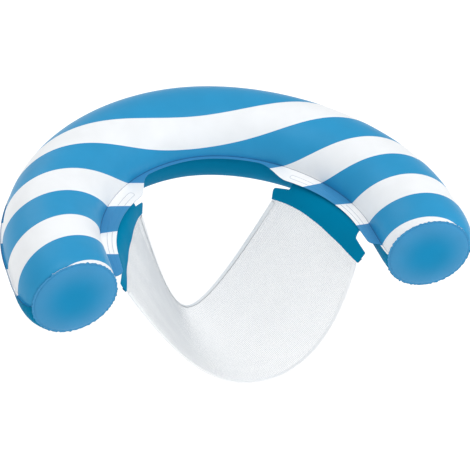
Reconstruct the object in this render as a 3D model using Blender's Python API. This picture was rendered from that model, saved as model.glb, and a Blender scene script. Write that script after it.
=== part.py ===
"""Inflatable pool chair: a horseshoe air tube with a net seat slung between its arms.

The tube is two PVC films, welded together along the inner and the outer seam and closed by a
round film at each arm's end. A wall at the middle of the back makes two air chambers, each with
a valve underneath. The inner weld widens to a flat tab on each arm. A band hangs from each tab,
and the net is welded between the band and a strip behind it.

Frame: +Z up, +Y towards the backrest, the sitter's legs point to -Y. The origin lies on the seam
plane, in the middle of the half oval that the inner seam makes. Lengths are in metres.
"""

import math

import bmesh
import bpy
import numpy as np
from mathutils import Matrix, Vector
from mathutils.bvhtree import BVHTree

# Film, net and clearances
FILM = 0.0004
NET_THICKNESS = 0.0006
GAP = 0.0003

# Plan of the inner seam: a half oval with a straight arm at each end
SEAM_HALF_WIDTH = 0.270
SEAM_DEPTH = 0.275
SEAM_ROUNDNESS = 1.9
ARM_LENGTH = 0.113

# Tube
TUBE_RADIUS_BACK = 0.093
TUBE_RADIUS_ARM = 0.0915
END_RADIUS = 0.0816
END_CLOSING = 0.060
END_TURN = 0.075
END_TOE_IN_SHARE = 0.128
END_TILT_SHARE = 0.045
DISC_BULGE = 0.008

# Weld flanges
LIP = 0.0045
BACK_FLANGE = 0.009
TAB_BACK_WIDTH = 0.044
TAB_FRONT_WIDTH = 0.024
TAB_START_DISTANCE = 0.125
TAB_CORNER_DISTANCE = 0.204
TAB_FRONT = 0.054
TAB_FRONT_TAPER = 0.020

# Weld loop pressed into each tab
WELD_WIDTH = 0.016
WELD_BEAD = 0.0010
WELD_BEAD_HEIGHT = 0.0003
WELD_CREST_SHARE = 0.5
WELD_END_MARGIN = 0.014
WELD_EDGE_SHARE = 0.5

# Seat bands
BAND_START_DISTANCE = 0.172
BAND_FRONT = 0.052
BAND_WELD = 0.018
BAND_REACH = 0.020
BAND_DROP = 0.0565
BAND_BACK_DROP = 0.009
BAND_IN = 0.0368
BAND_BACK_IN = 0.033
BAND_BOW = 0.0245
BAND_FALL = 0.028
BAND_FALL_OUT = 0.010
BAND_ARCH = 0.009
BAND_ARCH_SHARE = 0.66
BAND_EDGE = 0.0015
BAND_SLOPE_STEP = 0.004
STRIP_WIDTH = 0.013

# Band's ends: a tail at the back and a nose in front stand clear of the tab
TAIL = 0.040
TAIL_RUN = 0.014
TAIL_TOP = 0.031
TAIL_ROOT = 0.035
TAIL_CORNER = 0.007
TAIL_CORNER_TOP = 0.022
TAIL_FALL_OUT = 0.003
TAIL_FALL_RUN = 0.120
NOSE = 0.032
NOSE_RUN = 0.006
NOSE_TOP = 0.0275
NOSE_ROOT = 0.0395
NOSE_FLARE = 0.016
NOSE_FLARE_RUN = 0.062

# Net: the lowest point of each edge, and how far its curve runs on level there
NET_FRONT_Y = -0.1839
NET_FRONT_DROP = 0.2088
NET_FRONT_LEVEL = 0.1083
NET_FRONT_HANDLE = (0.058, 0.0951, 0.0646)
NET_BACK_Y = 0.2439
NET_BACK_DROP = 0.3743
NET_BACK_LEVEL = 0.0369
NET_BACK_HANDLE = (0.0556, 0.0285, 0.1756)
NET_BELLY = 0.016
NET_MARGIN = 0.011
NET_STRAND = 0.006
NET_INSET = 0.003
NET_EASE = 0.0003
NET_PULL = 4
HEM_WIDTH = 0.008
HEM_WALL = 0.0004

# Valves
VALVE_SEAM_DISTANCE = 0.205
VALVE_TURN = math.radians(218)
VALVE_BORE = 0.0044
VALVE_STEM = 0.0080
VALVE_STEM_LENGTH = 0.018
VALVE_COLLAR_WALL = 0.0012
VALVE_COLLAR_LENGTH = 0.014
VALVE_FLANGE = 0.0200
VALVE_FLANGE_THICKNESS = 0.0010
VALVE_PLATEAU = 0.0130
VALVE_HOLE = 0.0135
VALVE_RIM = 0.0112
VALVE_RIM_THICKNESS = 0.0012
VALVE_SEAT = 0.0002
PLUG_CAP = 0.0076
PLUG_CAP_THICKNESS = 0.0022
PLUG_LENGTH = 0.0085
PLUG_RIDGE = 0.0008
PLUG_TIP_SHARE = 0.80
PLUG_TIP_LENGTH_SHARE = 0.15
PLUG_EDGE_SHARE = 0.60
FLAP_RADIUS = 0.0064
FLAP_THICKNESS = 0.0006
TETHER_WIDTH = 0.0045
TETHER_THICKNESS = 0.0009

# Counts
OVAL_SAMPLES = 1200
BACK_STEPS = 5
SHOULDER_STEPS = 4
TAB_STEPS = 8
ARM_STEPS = 2
TAPER_STEPS = 4
END_STEPS = 5
ARC_STEPS = 12
WELD_TURN_STEPS = 5
BAND_STEPS = 12
BAND_END_STEPS = 2
BAND_ROWS = 7
NET_ACROSS = 20
NET_ALONG = 11
DISC_SHARES = (0.80, 0.50, 0.22)
TURN_STEPS = 20
LOOP_STEPS = 6

FILM_PITCH = FILM + GAP
MID = FILM_PITCH / 2
SOFT_EDGE = math.radians(50)
MOULDED_EDGE = math.radians(40)

BLUE = (0.042, 0.292, 0.552)
TEAL = (0.0, 0.212, 0.381)
WHITE = (0.87, 0.89, 0.94)
NET_WHITE = (0.78, 0.84, 0.88)
CLEAR_WHITE = (0.80, 0.84, 0.87)


def clear_scene():
    for item in list(bpy.data.objects):
        bpy.data.objects.remove(item, do_unlink=True)


def material(name, colour, roughness, alpha=1.0):
    finish = bpy.data.materials.new(name)
    finish.use_nodes = True
    shader = finish.node_tree.nodes["Principled BSDF"]
    shader.inputs["Base Color"].default_value = (*colour, 1.0)
    shader.inputs["Roughness"].default_value = roughness
    shader.inputs["Metallic"].default_value = 0.0
    shader.inputs["Alpha"].default_value = alpha
    finish.diffuse_color = (*colour, alpha)
    return finish


def add_object(name, mesh_data, finish, smooth_angle=None):
    item = bpy.data.objects.new(name, mesh_data)
    bpy.context.scene.collection.objects.link(item)
    item.data.materials.append(finish)
    if smooth_angle is not None:
        item.data.shade_smooth()
        item.data.set_sharp_from_angle(angle=smooth_angle)
    return item


def mesh_of(name, points, faces):
    """A mesh from points and faces, with its normals made to agree."""
    data = bpy.data.meshes.new(name)
    data.from_pydata([tuple(p) for p in points], [], faces)
    work = bmesh.new()
    work.from_mesh(data)
    bmesh.ops.recalc_face_normals(work, faces=work.faces)
    work.to_mesh(data)
    work.free()
    data.update()
    return data


def thicken(item, thickness, even=True):
    """Gives a film's middle surface its thickness."""
    wall = item.modifiers.new("wall", "SOLIDIFY")
    wall.thickness = thickness
    wall.offset = 0.0
    wall.use_even_offset = even
    return wall


def smooth_step(value):
    t = np.clip(value, 0.0, 1.0)
    return t * t * (3.0 - 2.0 * t)


def quarter_ellipse(value):
    """Rises from 0 to 1, level at first and upright at the end."""
    t = np.clip(value, 0.0, 1.0)
    return 1.0 - math.sqrt(max(0.0, 1.0 - t * t))


# The seam's curve

def seam_table():
    """Distance along the right half of the inner seam from the middle of the back, with its points."""
    angle = np.linspace(0.0, math.pi / 2, OVAL_SAMPLES)
    power = 2.0 / SEAM_ROUNDNESS
    x = SEAM_HALF_WIDTH * np.sin(angle) ** power
    y = SEAM_DEPTH * np.cos(angle).clip(0.0) ** power
    x = np.append(x, SEAM_HALF_WIDTH)
    y = np.append(y, -ARM_LENGTH)
    along = np.concatenate([[0.0], np.cumsum(np.hypot(np.diff(x), np.diff(y)))])
    return along, x, y


SEAM_ALONG, SEAM_X, SEAM_Y = seam_table()
SEAM_END = SEAM_ALONG[-1]
OVAL_END = SEAM_END - ARM_LENGTH


def seam_point(along):
    """Point of the right half seam, and its unit normal away from the sitter, in plan."""
    step = SEAM_END / OVAL_SAMPLES
    low = np.clip(along - step, 0.0, SEAM_END)
    high = np.clip(along + step, 0.0, SEAM_END)
    x = np.interp(along, SEAM_ALONG, SEAM_X)
    y = np.interp(along, SEAM_ALONG, SEAM_Y)
    tangent_x = np.interp(high, SEAM_ALONG, SEAM_X) - np.interp(low, SEAM_ALONG, SEAM_X)
    tangent_y = np.interp(high, SEAM_ALONG, SEAM_Y) - np.interp(low, SEAM_ALONG, SEAM_Y)
    if along <= 0.0:
        tangent_y = 0.0
    if along >= OVAL_END:
        tangent_x = 0.0
    length = math.hypot(tangent_x, tangent_y)
    return np.array([x, y]), np.array([-tangent_y, tangent_x]) / length


def station_distances():
    """Distances of the tube's sections from the middle of the back, closest where it turns or closes."""
    taper_end = OVAL_END + TAB_FRONT + TAB_FRONT_TAPER
    quarter = np.linspace(0.0, math.pi / 2, TAPER_STEPS + 1)
    runs = [
        np.linspace(0.0, TAB_START_DISTANCE, BACK_STEPS + 1),
        np.linspace(TAB_START_DISTANCE, TAB_CORNER_DISTANCE, SHOULDER_STEPS + 1),
        np.linspace(TAB_CORNER_DISTANCE, OVAL_END, TAB_STEPS + 1),
        np.linspace(OVAL_END, OVAL_END + TAB_FRONT, ARM_STEPS + 1),
        OVAL_END + TAB_FRONT + TAB_FRONT_TAPER * np.sin(quarter),
        taper_end + (SEAM_END - taper_end) * np.sin(np.linspace(0.0, math.pi / 2, END_STEPS + 1)),
    ]
    return np.concatenate([runs[0]] + [run[1:] for run in runs[1:]])


def closing(along):
    """0 along the tube, rising as a quarter ellipse to 1 at the arm's end."""
    return quarter_ellipse((along - (SEAM_END - END_CLOSING)) / END_CLOSING)


def tube_radius(along):
    radius = TUBE_RADIUS_BACK + (TUBE_RADIUS_ARM - TUBE_RADIUS_BACK) * smooth_step(along / SEAM_END)
    return radius + (END_RADIUS - LIP - radius) * closing(along)


def flange_width(along):
    """Width of the inner weld: narrow round the back, a tab on the arm, a lip at the end."""
    share = (along - TAB_CORNER_DISTANCE) / (OVAL_END + TAB_FRONT - TAB_CORNER_DISTANCE)
    tab = TAB_BACK_WIDTH + (TAB_FRONT_WIDTH - TAB_BACK_WIDTH) * np.clip(share, 0.0, 1.0)
    rise = smooth_step((along - TAB_START_DISTANCE) / (TAB_CORNER_DISTANCE - TAB_START_DISTANCE))
    fall = quarter_ellipse((along - OVAL_END - TAB_FRONT) / TAB_FRONT_TAPER)
    width = BACK_FLANGE + (tab - BACK_FLANGE) * rise
    return width + (LIP - width) * fall


def place(side, along, out, z):
    """World point on one side (+1 right, -1 left), a distance out from the seam and a height."""
    point, normal = seam_point(along)
    turn = float(smooth_step((along - (SEAM_END - END_TURN)) / END_TURN))
    centre = tube_radius(along) + LIP * closing(along)
    lean = END_TOE_IN_SHARE * (out - centre) + END_TILT_SHARE * z
    x = point[0] + normal[0] * out
    y = point[1] + normal[1] * out - turn * lean
    return Vector((side * x, y, z))


# Air tube

def film_row(side, along, face):
    """One section of a film: the inner lip's edge, the arc over the tube, the outer lip's edge."""
    radius = tube_radius(along)
    centre = radius + LIP * closing(along)
    row = [place(side, along, centre - radius - flange_width(along) * (1.0 - closing(along))
                 - LIP * closing(along), face * MID)]
    for k in range(ARC_STEPS + 1):
        turn = math.pi * k / ARC_STEPS
        rise = MID + (radius - MID) * math.sin(turn)
        row.append(place(side, along, centre - radius * math.cos(turn), face * rise))
    row.append(place(side, along, centre + radius + LIP, face * MID))
    return row


def end_flange_row(side, face):
    """The film's edge turned out round the arm's end, without its two ends."""
    radius = tube_radius(SEAM_END)
    centre = radius + LIP
    row = []
    for k in range(1, ARC_STEPS):
        turn = math.pi * k / ARC_STEPS
        rise = MID + (radius - MID + LIP) * math.sin(turn)
        row.append(place(side, SEAM_END, centre - (radius + LIP) * math.cos(turn), face * rise))
    return row


def tube_film(name, face, finish):
    """Half of the air tube as one film, from the left arm's end round the back to the right one."""
    distances = station_distances()
    rows = [film_row(-1, along, face) for along in distances[::-1]]
    rows += [film_row(1, along, face) for along in distances[1:]]
    width = len(rows[0])
    points = [p for row in rows for p in row]
    faces = []
    for i in range(len(rows) - 1):
        for j in range(width - 1):
            a = i * width + j
            faces.append((a, a + 1, a + width + 1, a + width))
    for side, first in ((-1, 0), (1, (len(rows) - 1) * width)):
        start = len(points)
        points += end_flange_row(side, face)
        rim = [first] + list(range(start, start + ARC_STEPS - 1)) + [first + width - 1]
        for k in range(ARC_STEPS):
            faces.append((first + 1 + k, first + 2 + k, rim[k + 1], rim[k]))
    film = add_object(name, mesh_of(name, points, faces), finish, SOFT_EDGE)
    thicken(film, FILM, even=False)
    return film


def weld_path(side):
    """Middle line of the loop pressed into a tab: two long sides and two round ends."""
    start = TAB_CORNER_DISTANCE + WELD_END_MARGIN
    stop = OVAL_END + TAB_FRONT - WELD_END_MARGIN
    half = WELD_WIDTH / 2

    def middle(along):
        return -flange_width(along) * WELD_EDGE_SHARE

    steps = [along for along in station_distances() if start < along < stop]
    line = [(along, middle(along) + half) for along in [start, *steps, stop]]
    for k in range(1, WELD_TURN_STEPS):
        turn = math.pi * k / WELD_TURN_STEPS
        line.append((stop + half * math.sin(turn), middle(stop) + half * math.cos(turn)))
    line += [(along, middle(along) - half) for along in [stop, *steps[::-1], start]]
    for k in range(1, WELD_TURN_STEPS):
        turn = math.pi * k / WELD_TURN_STEPS
        line.append((start - half * math.sin(turn), middle(start) - half * math.cos(turn)))
    return [place(side, along, out, MID) for along, out in line]


def weld_loop(name, side, finish):
    """Raised loop of the weld: a bar that stands in the film and slopes in to its narrow crest."""
    path = weld_path(side)
    count = len(path)
    top = FILM / 2 + WELD_BEAD_HEIGHT
    foot = WELD_BEAD / 2
    crest = foot * WELD_CREST_SHARE
    points = []
    for k, here in enumerate(path):
        run = (path[(k + 1) % count] - path[k - 1]).normalized()
        across = Vector((-run.y, run.x, 0.0))
        points += [here + across * a + Vector((0.0, 0.0, b))
                   for a, b in ((-foot, 0.0), (foot, 0.0), (crest, top), (-crest, top))]
    faces = []
    for k in range(count):
        near, far = 4 * k, 4 * ((k + 1) % count)
        faces += [(near + j, near + (j + 1) % 4, far + (j + 1) % 4, far + j) for j in range(4)]
    loop = add_object(name, mesh_of(name, points, faces), finish)
    as_cutter(loop)
    return loop


def as_cutter(item):
    item.hide_render = True
    item.display_type = "WIRE"


def combine(target, tool, operation):
    step = target.modifiers.new(tool.name, "BOOLEAN")
    step.operation = operation
    step.solver = "EXACT"
    step.object = tool


def end_disc(name, side, finish):
    """Round film that closes an arm, its rim lying on the tube's turned-out edge."""
    centre = END_RADIUS
    rim_shares = [1.0, (END_RADIUS - LIP) / END_RADIUS, *DISC_SHARES]
    flat = rim_shares[1]
    points = []
    for share in rim_shares:
        bulge = DISC_BULGE * max(0.0, 1.0 - (share / flat) ** 2) ** 0.5
        for k in range(2 * ARC_STEPS):
            turn = math.pi * k / ARC_STEPS
            radius = END_RADIUS * share
            where = place(side, SEAM_END, centre - radius * math.cos(turn), radius * math.sin(turn))
            points.append(where + Vector((0.0, -FILM_PITCH - bulge, 0.0)))
    middle = place(side, SEAM_END, centre, 0.0) + Vector((0.0, -FILM_PITCH - DISC_BULGE, 0.0))
    points.append(middle)
    ring = 2 * ARC_STEPS
    faces = []
    for i in range(len(rim_shares) - 1):
        for k in range(ring):
            n = (k + 1) % ring
            faces.append((i * ring + k, i * ring + n, (i + 1) * ring + n, (i + 1) * ring + k))
    last = (len(rim_shares) - 1) * ring
    for k in range(ring):
        faces.append((last + k, last + (k + 1) % ring, len(points) - 1))
    disc = add_object(name, mesh_of(name, points, faces), finish, MOULDED_EDGE)
    thicken(disc, FILM)
    return disc


def chamber_bulkhead(finish):
    """Wall across the tube at the middle of the back, between the two air chambers."""
    radius = tube_radius(0.0)
    inset = FILM / 2 + GAP
    outline = []
    for face in (1, -1):
        turns = [math.pi * k / ARC_STEPS for k in range(ARC_STEPS + 1)]
        for turn in turns[::face]:
            out = radius - (radius - inset) * math.cos(turn)
            rise = MID - inset + (radius - MID) * math.sin(turn)
            outline.append(place(1, 0.0, out, face * max(rise, MID / 2)))
    points = [p + Vector((shift, 0.0, 0.0)) for shift in (-FILM / 2, FILM / 2) for p in outline]
    count = len(outline)
    faces = [tuple(range(count)), tuple(range(count, 2 * count))]
    faces += [(k, (k + 1) % count, count + (k + 1) % count, count + k) for k in range(count)]
    return add_object("chamber_bulkhead", mesh_of("chamber_bulkhead", points, faces), finish)


# Seat bands and net

def band_along(share):
    """Distance along the seam for a share of the band's length, from its back end to its front end."""
    return BAND_START_DISTANCE + share * (OVAL_END + BAND_FRONT - BAND_START_DISTANCE)


BAND_SPAN = band_along(1.0) - band_along(0.0)


def band_profile(share):
    """The band's section as (out, z): flat under the tab, then falling to its lower edge.

    It hangs steepest at the tail, and the nose flares towards the tube.
    """
    run = share * BAND_SPAN
    flare = max(0.0, 1.0 - (BAND_SPAN - run) / NOSE_FLARE_RUN) ** 2
    fall_out = TAIL_FALL_OUT + (BAND_FALL_OUT - TAIL_FALL_OUT) * smooth_step(run / TAIL_FALL_RUN)
    arch = BAND_ARCH * math.sin(math.pi * share ** BAND_ARCH_SHARE) ** 2
    low_out = BAND_BACK_IN + (BAND_IN - BAND_BACK_IN) * share + BAND_BOW * math.sin(math.pi * share)
    low_drop = BAND_DROP + BAND_BACK_DROP * (1.0 - share) ** 3 - arch
    weld = np.array([-BAND_WELD, -MID - FILM_PITCH])
    low = np.array([-low_out, -low_drop])
    near = weld + np.array([-BAND_REACH * (1.0 - flare), 0.0])
    above = low + np.array([fall_out + NOSE_FLARE * flare, BAND_FALL])
    t = np.linspace(0.0, 1.0, 4 * BAND_ROWS)[:, None]
    return ((1 - t) ** 3 * weld + 3 * t * (1 - t) ** 2 * near
            + 3 * t * t * (1 - t) * above + t ** 3 * low)


def band_length(line):
    return np.concatenate([[0.0], np.cumsum(np.hypot(*np.diff(line, axis=0).T))])


def band_point(side, share, from_low, behind=0.0):
    """Point on the band, a distance up its section from the lower edge, and a distance behind it."""
    line = band_profile(share)
    run = band_length(line)

    def section_at(distance):
        return np.array([np.interp(distance, run, line[:, 0]), np.interp(distance, run, line[:, 1])])

    at = run[-1] - from_low
    down = section_at(at + BAND_SLOPE_STEP) - section_at(at - BAND_SLOPE_STEP)
    down /= np.linalg.norm(down)
    out, z = section_at(at) + np.array([-down[1], down[0]]) * behind
    return place(side, band_along(share), out, z)


def band_runs():
    """Distances of the band's columns from its back end, closest where its top edge turns."""
    return np.concatenate([
        [0.0],
        np.linspace(TAIL_CORNER, TAIL, BAND_END_STEPS + 1),
        np.linspace(TAIL + TAIL_RUN, BAND_SPAN - NOSE - NOSE_RUN, BAND_STEPS + 1),
        np.linspace(BAND_SPAN - NOSE, BAND_SPAN, BAND_END_STEPS + 1),
    ])


def band_top(run):
    """Height of the top edge over the lower one: up to the weld, but cut down at the tail and nose."""
    to_front = BAND_SPAN - run
    full = band_length(band_profile(run / BAND_SPAN))[-1]
    tail = TAIL_TOP + (TAIL_ROOT - TAIL_TOP) * run / TAIL
    tail -= (TAIL_TOP - TAIL_CORNER_TOP) * quarter_ellipse(1.0 - run / TAIL_CORNER)
    nose = NOSE_TOP + (NOSE_ROOT - NOSE_TOP) * to_front / NOSE
    cut = (full - tail) * (1.0 - smooth_step((run - TAIL) / TAIL_RUN))
    cut += (full - nose) * (1.0 - smooth_step((to_front - NOSE) / NOSE_RUN))
    return full - cut


def seat_band(name, side, finish):
    """The band, welded under the tab between its tail and its nose."""
    points = []
    for run in band_runs():
        top = band_top(run)
        for j in range(BAND_ROWS + 1):
            points.append(band_point(side, run / BAND_SPAN, top + (BAND_EDGE - top) * j / BAND_ROWS))
    faces = grid_faces(len(points) // (BAND_ROWS + 1), BAND_ROWS + 1)
    band = add_object(name, mesh_of(name, points, faces), finish, MOULDED_EDGE)
    thicken(band, FILM)
    return band


def grid_faces(rows, columns, skip=None):
    faces = []
    for i in range(rows - 1):
        for j in range(columns - 1):
            if skip and skip(i, j):
                continue
            a = i * columns + j
            faces.append((a, a + 1, a + columns + 1, a + columns))
    return faces


NET_BEHIND = FILM / 2 + GAP + NET_EASE + NET_THICKNESS / 2
STRIP_BEHIND = NET_BEHIND + NET_THICKNESS / 2 + NET_EASE + GAP + FILM / 2


def net_strip(name, side, finish):
    """Strip behind the net's margin, which the net is welded between."""
    rows = (STRIP_WIDTH, (STRIP_WIDTH + BAND_EDGE) / 2, BAND_EDGE)
    points = [band_point(side, run / BAND_SPAN, from_low, STRIP_BEHIND)
              for run in band_runs() for from_low in rows]
    faces = grid_faces(len(points) // len(rows), len(rows))
    strip = add_object(name, mesh_of(name, points, faces), finish)
    thicken(strip, FILM)
    return strip


def net_edge(across, end, middle_y, drop, level, handle):
    """Edge of the net: level at its lowest point, then rising to the band."""
    t = abs(across)
    low = np.array([0.0, middle_y, -drop])
    near = low + np.array([level, 0.0, 0.0])
    hung = end - np.array(handle)
    curve = ((1 - t) ** 3 * low + 3 * t * (1 - t) ** 2 * near
             + 3 * t * t * (1 - t) * hung + t ** 3 * end)
    return curve * np.array([math.copysign(1.0, across), 1.0, 1.0])


def net_point(across, along):
    """Point of the hanging net; across runs from -1 to 1, along from the front edge to the back."""
    inset = NET_INSET / BAND_SPAN
    side = 1 if across >= 0 else -1
    share = (1.0 - inset) + along * (2 * inset - 1.0)
    hang = np.array(band_point(1, share, 0.0, NET_BEHIND))
    front_end = np.array(band_point(1, 1.0 - inset, 0.0, NET_BEHIND))
    back_end = np.array(band_point(1, inset, 0.0, NET_BEHIND))
    front_handle = NET_FRONT_HANDLE
    back_handle = (NET_BACK_HANDLE[0], -NET_BACK_HANDLE[1], NET_BACK_HANDLE[2])
    front = net_edge(abs(across), front_end, NET_FRONT_Y, NET_FRONT_DROP, NET_FRONT_LEVEL, front_handle)
    back = net_edge(abs(across), back_end, NET_BACK_Y, NET_BACK_DROP, NET_BACK_LEVEL, back_handle)
    ruled = (1 - along) * front + along * back
    straight = (1 - along) * front_end + along * back_end
    pull = across ** NET_PULL
    belly = NET_BELLY * math.sin(math.pi * along) * (1 - across * across)
    where = ruled + pull * (hang - straight) - np.array([0.0, 0.0, belly])
    return Vector((side * where[0], where[1], where[2]))


def net_lines(count, first, last, strand):
    """Strands and gaps in turn between two solid edges, as shares of the run."""
    pitch = (1.0 - first - last + strand) / count
    lines = [0.0]
    for k in range(count):
        lines += [first + k * pitch, first + (k + 1) * pitch - strand]
    return lines + [1.0]


def net_grid():
    """Shares along the net, and across it from -1 to 1, where its strands' edges run."""
    half_width = NET_FRONT_LEVEL + NET_FRONT_DROP
    depth = NET_BACK_Y - NET_FRONT_Y
    edge = (HEM_WIDTH + NET_STRAND) / depth
    along = net_lines(NET_ALONG, edge, edge, NET_STRAND / depth)
    side_edge = NET_STRAND / half_width
    across = net_lines(NET_ACROSS, side_edge, side_edge, side_edge / 2)
    return along, [2 * share - 1 for share in across]


def seat_net(finish):
    """The net as one sheet with open meshes, its side margins tucked up behind the bands."""
    along, across = net_grid()
    points = []
    inset = NET_INSET / BAND_SPAN
    for v in along:
        share = (1.0 - inset) + v * (2 * inset - 1.0)
        points.append(band_point(-1, share, NET_MARGIN, NET_BEHIND))
        points += [net_point(u, v) for u in across]
        points.append(band_point(1, share, NET_MARGIN, NET_BEHIND))
    columns = len(across) + 2

    def open_mesh(i, j):
        return i % 2 == 1 and j % 2 == 0 and 1 < j < columns - 3

    faces = grid_faces(len(along), columns, open_mesh)
    net = add_object("seat_net", mesh_of("seat_net", points, faces), finish)
    thicken(net, NET_THICKNESS)
    return net


def net_hem(name, at_front, finish):
    """Binding folded over the net's edge, open towards the net, from one band to the other."""
    along, across = net_grid()
    edge, inner = (along[0], along[1]) if at_front else (along[-1], along[-2])
    slot = NET_THICKNESS / 2 + NET_EASE + GAP
    outer = slot + HEM_WALL
    section = [
        (-GAP - HEM_WALL, outer), (HEM_WIDTH, outer), (HEM_WIDTH, slot), (-GAP, slot),
        (-GAP, -slot), (HEM_WIDTH, -slot), (HEM_WIDTH, -outer), (-GAP - HEM_WALL, -outer),
    ]
    points = []
    columns = across[1:-1]
    for k, u in enumerate(columns):
        here = net_point(u, edge)
        inward = (net_point(u, inner) - here).normalized()
        before = net_point(across[k], edge)
        after = net_point(across[k + 2], edge)
        run = (after - before).normalized()
        upward = run.cross(inward).normalized()
        if upward.z < 0.0:
            upward.negate()
        inward = (inward - run * inward.dot(run)).normalized()
        points += [here + inward * a + upward * b for a, b in section]
    ring = len(section)
    faces = [tuple(range(ring)), tuple(range(len(points) - ring, len(points)))]
    for i in range(len(columns) - 1):
        for j in range(ring):
            n = (j + 1) % ring
            faces.append((i * ring + j, i * ring + n, (i + 1) * ring + n, (i + 1) * ring + j))
    return add_object(name, mesh_of(name, points, faces), finish)


# Valves

def valve_frame(side):
    """Frame on the outside of the lower film: +Z out of the chamber, +X along the tube."""
    along = VALVE_SEAM_DISTANCE
    radius = tube_radius(along)
    out = radius - radius * math.cos(VALVE_TURN)
    centre = place(side, along, out, radius * math.sin(VALVE_TURN))
    middle = place(side, along, radius, 0.0)
    normal = (centre - middle).normalized()
    forward = Vector((0.0, 0.0, 1.0)).cross(normal).normalized()
    frame = Matrix.Identity(4)
    for column, axis in enumerate((forward, normal.cross(forward), normal)):
        for row in range(3):
            frame[row][column] = axis[row]
    frame.translation = centre
    return frame


def film_depth(film, frame):
    """A function that gives the film's inner face below the valve's plane, at a point of it."""
    solid = film.evaluated_get(bpy.context.evaluated_depsgraph_get())
    tree = BVHTree.FromPolygons([v.co for v in solid.data.vertices],
                                [tuple(p.vertices) for p in solid.data.polygons])
    normal = frame.to_3x3() @ Vector((0.0, 0.0, 1.0))
    inverse = frame.inverted()

    def depth(x, y):
        start = frame @ Vector((x, y, -VALVE_FLANGE))
        hit, _, _, _ = tree.ray_cast(start, normal)
        return (inverse @ hit).z

    return depth


def turned(name, section, finish, closed=True, smooth_angle=MOULDED_EDGE):
    """Turned piece: a section of (radius, z) spun about Z. A closed section leaves a bore."""
    points = []
    for radius, z in section:
        for k in range(TURN_STEPS):
            turn = 2 * math.pi * k / TURN_STEPS
            x = radius * math.cos(turn)
            y = radius * math.sin(turn)
            points.append((x, y, z(x, y) if callable(z) else z))
    rings = len(section)
    faces = []
    for i in range(rings if closed else rings - 1):
        m = (i + 1) % rings
        for k in range(TURN_STEPS):
            n = (k + 1) % TURN_STEPS
            faces.append((i * TURN_STEPS + k, i * TURN_STEPS + n, m * TURN_STEPS + n, m * TURN_STEPS + k))
    if not closed:
        faces.append(tuple(range(TURN_STEPS)))
        faces.append(tuple(range((rings - 1) * TURN_STEPS, rings * TURN_STEPS)))
    return add_object(name, mesh_of(name, points, faces), finish, smooth_angle)


def valve_base(name, depth, plateau, finish):
    """Moulded base: a flange that follows the film's inner face, and a collar for the stem."""
    bore = VALVE_STEM + GAP
    collar = bore + VALVE_COLLAR_WALL
    middle = (VALVE_PLATEAU + VALVE_FLANGE) / 2

    def under_film(x, y):
        return depth(x, y) - GAP - VALVE_SEAT

    def below(x, y):
        return under_film(x, y) - VALVE_FLANGE_THICKNESS

    section = [
        (bore, plateau), (VALVE_PLATEAU, plateau), (middle, under_film), (VALVE_FLANGE, under_film),
        (VALVE_FLANGE, below), (middle, below), (VALVE_PLATEAU, plateau - VALVE_FLANGE_THICKNESS),
        (collar, plateau - VALVE_FLANGE_THICKNESS), (collar, plateau - VALVE_COLLAR_LENGTH),
        (bore, plateau - VALVE_COLLAR_LENGTH),
    ]
    return turned(name, section, finish)


def valve_stem(name, rim_top, finish):
    """Neck that slides in the collar, with a rim outside that rests on the base."""
    rim_low = rim_top - VALVE_RIM_THICKNESS
    end = rim_top - VALVE_STEM_LENGTH
    section = [
        (VALVE_BORE, rim_top), (VALVE_RIM, rim_top), (VALVE_RIM, rim_low),
        (VALVE_STEM, rim_low), (VALVE_STEM, end), (VALVE_BORE, end),
    ]
    return turned(name, section, finish)


def valve_plug(name, low, finish):
    """Plug: a cap with a finger ridge, and a shank for the neck's bore."""
    shank = VALVE_BORE - GAP
    tip = low - PLUG_LENGTH
    high = low + PLUG_CAP_THICKNESS
    section = [
        (shank * PLUG_TIP_SHARE, tip), (shank, tip + PLUG_LENGTH * PLUG_TIP_LENGTH_SHARE), (shank, low),
        (PLUG_CAP, low), (PLUG_CAP, low + PLUG_CAP_THICKNESS * PLUG_EDGE_SHARE),
        (PLUG_CAP - PLUG_RIDGE, high), (PLUG_CAP / 2, high), (PLUG_CAP / 2 - PLUG_RIDGE, high + PLUG_RIDGE),
    ]
    return turned(name, section, finish, closed=False)


def valve_flap(name, finish):
    """Thin flap that air pushes open inwards; its origin is on its hinge at the neck's edge."""
    section = [(FLAP_RADIUS, 0.0), (FLAP_RADIUS, -FLAP_THICKNESS)]
    flap = turned(name, section, finish, closed=False)
    flap.data.transform(Matrix.Translation((0.0, -FLAP_RADIUS, 0.0)))
    return flap


def plug_tether(name, rim_top, finish):
    """Strap from the rim of the neck to the cap: out, round a small loop and back over itself."""
    low = rim_top + GAP + TETHER_THICKNESS / 2
    high = low + PLUG_CAP_THICKNESS
    turn_radius = (high - low) / 2
    start = PLUG_CAP + 2 * GAP
    middle = VALVE_HOLE - TETHER_THICKNESS - GAP - turn_radius
    path = [(start, low), (middle, low)]
    for k in range(1, LOOP_STEPS):
        turn = math.pi * k / LOOP_STEPS - math.pi / 2
        path.append((middle + turn_radius * math.cos(turn), low + turn_radius + turn_radius * math.sin(turn)))
    path += [(middle, high), (start, high)]
    half = TETHER_WIDTH / 2
    points = [(x, y, z) for x, z in path for y in (-half, half)]
    strap = add_object(name, mesh_of(name, points, grid_faces(len(path), 2)), finish)
    thicken(strap, TETHER_THICKNESS)
    return strap


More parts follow.
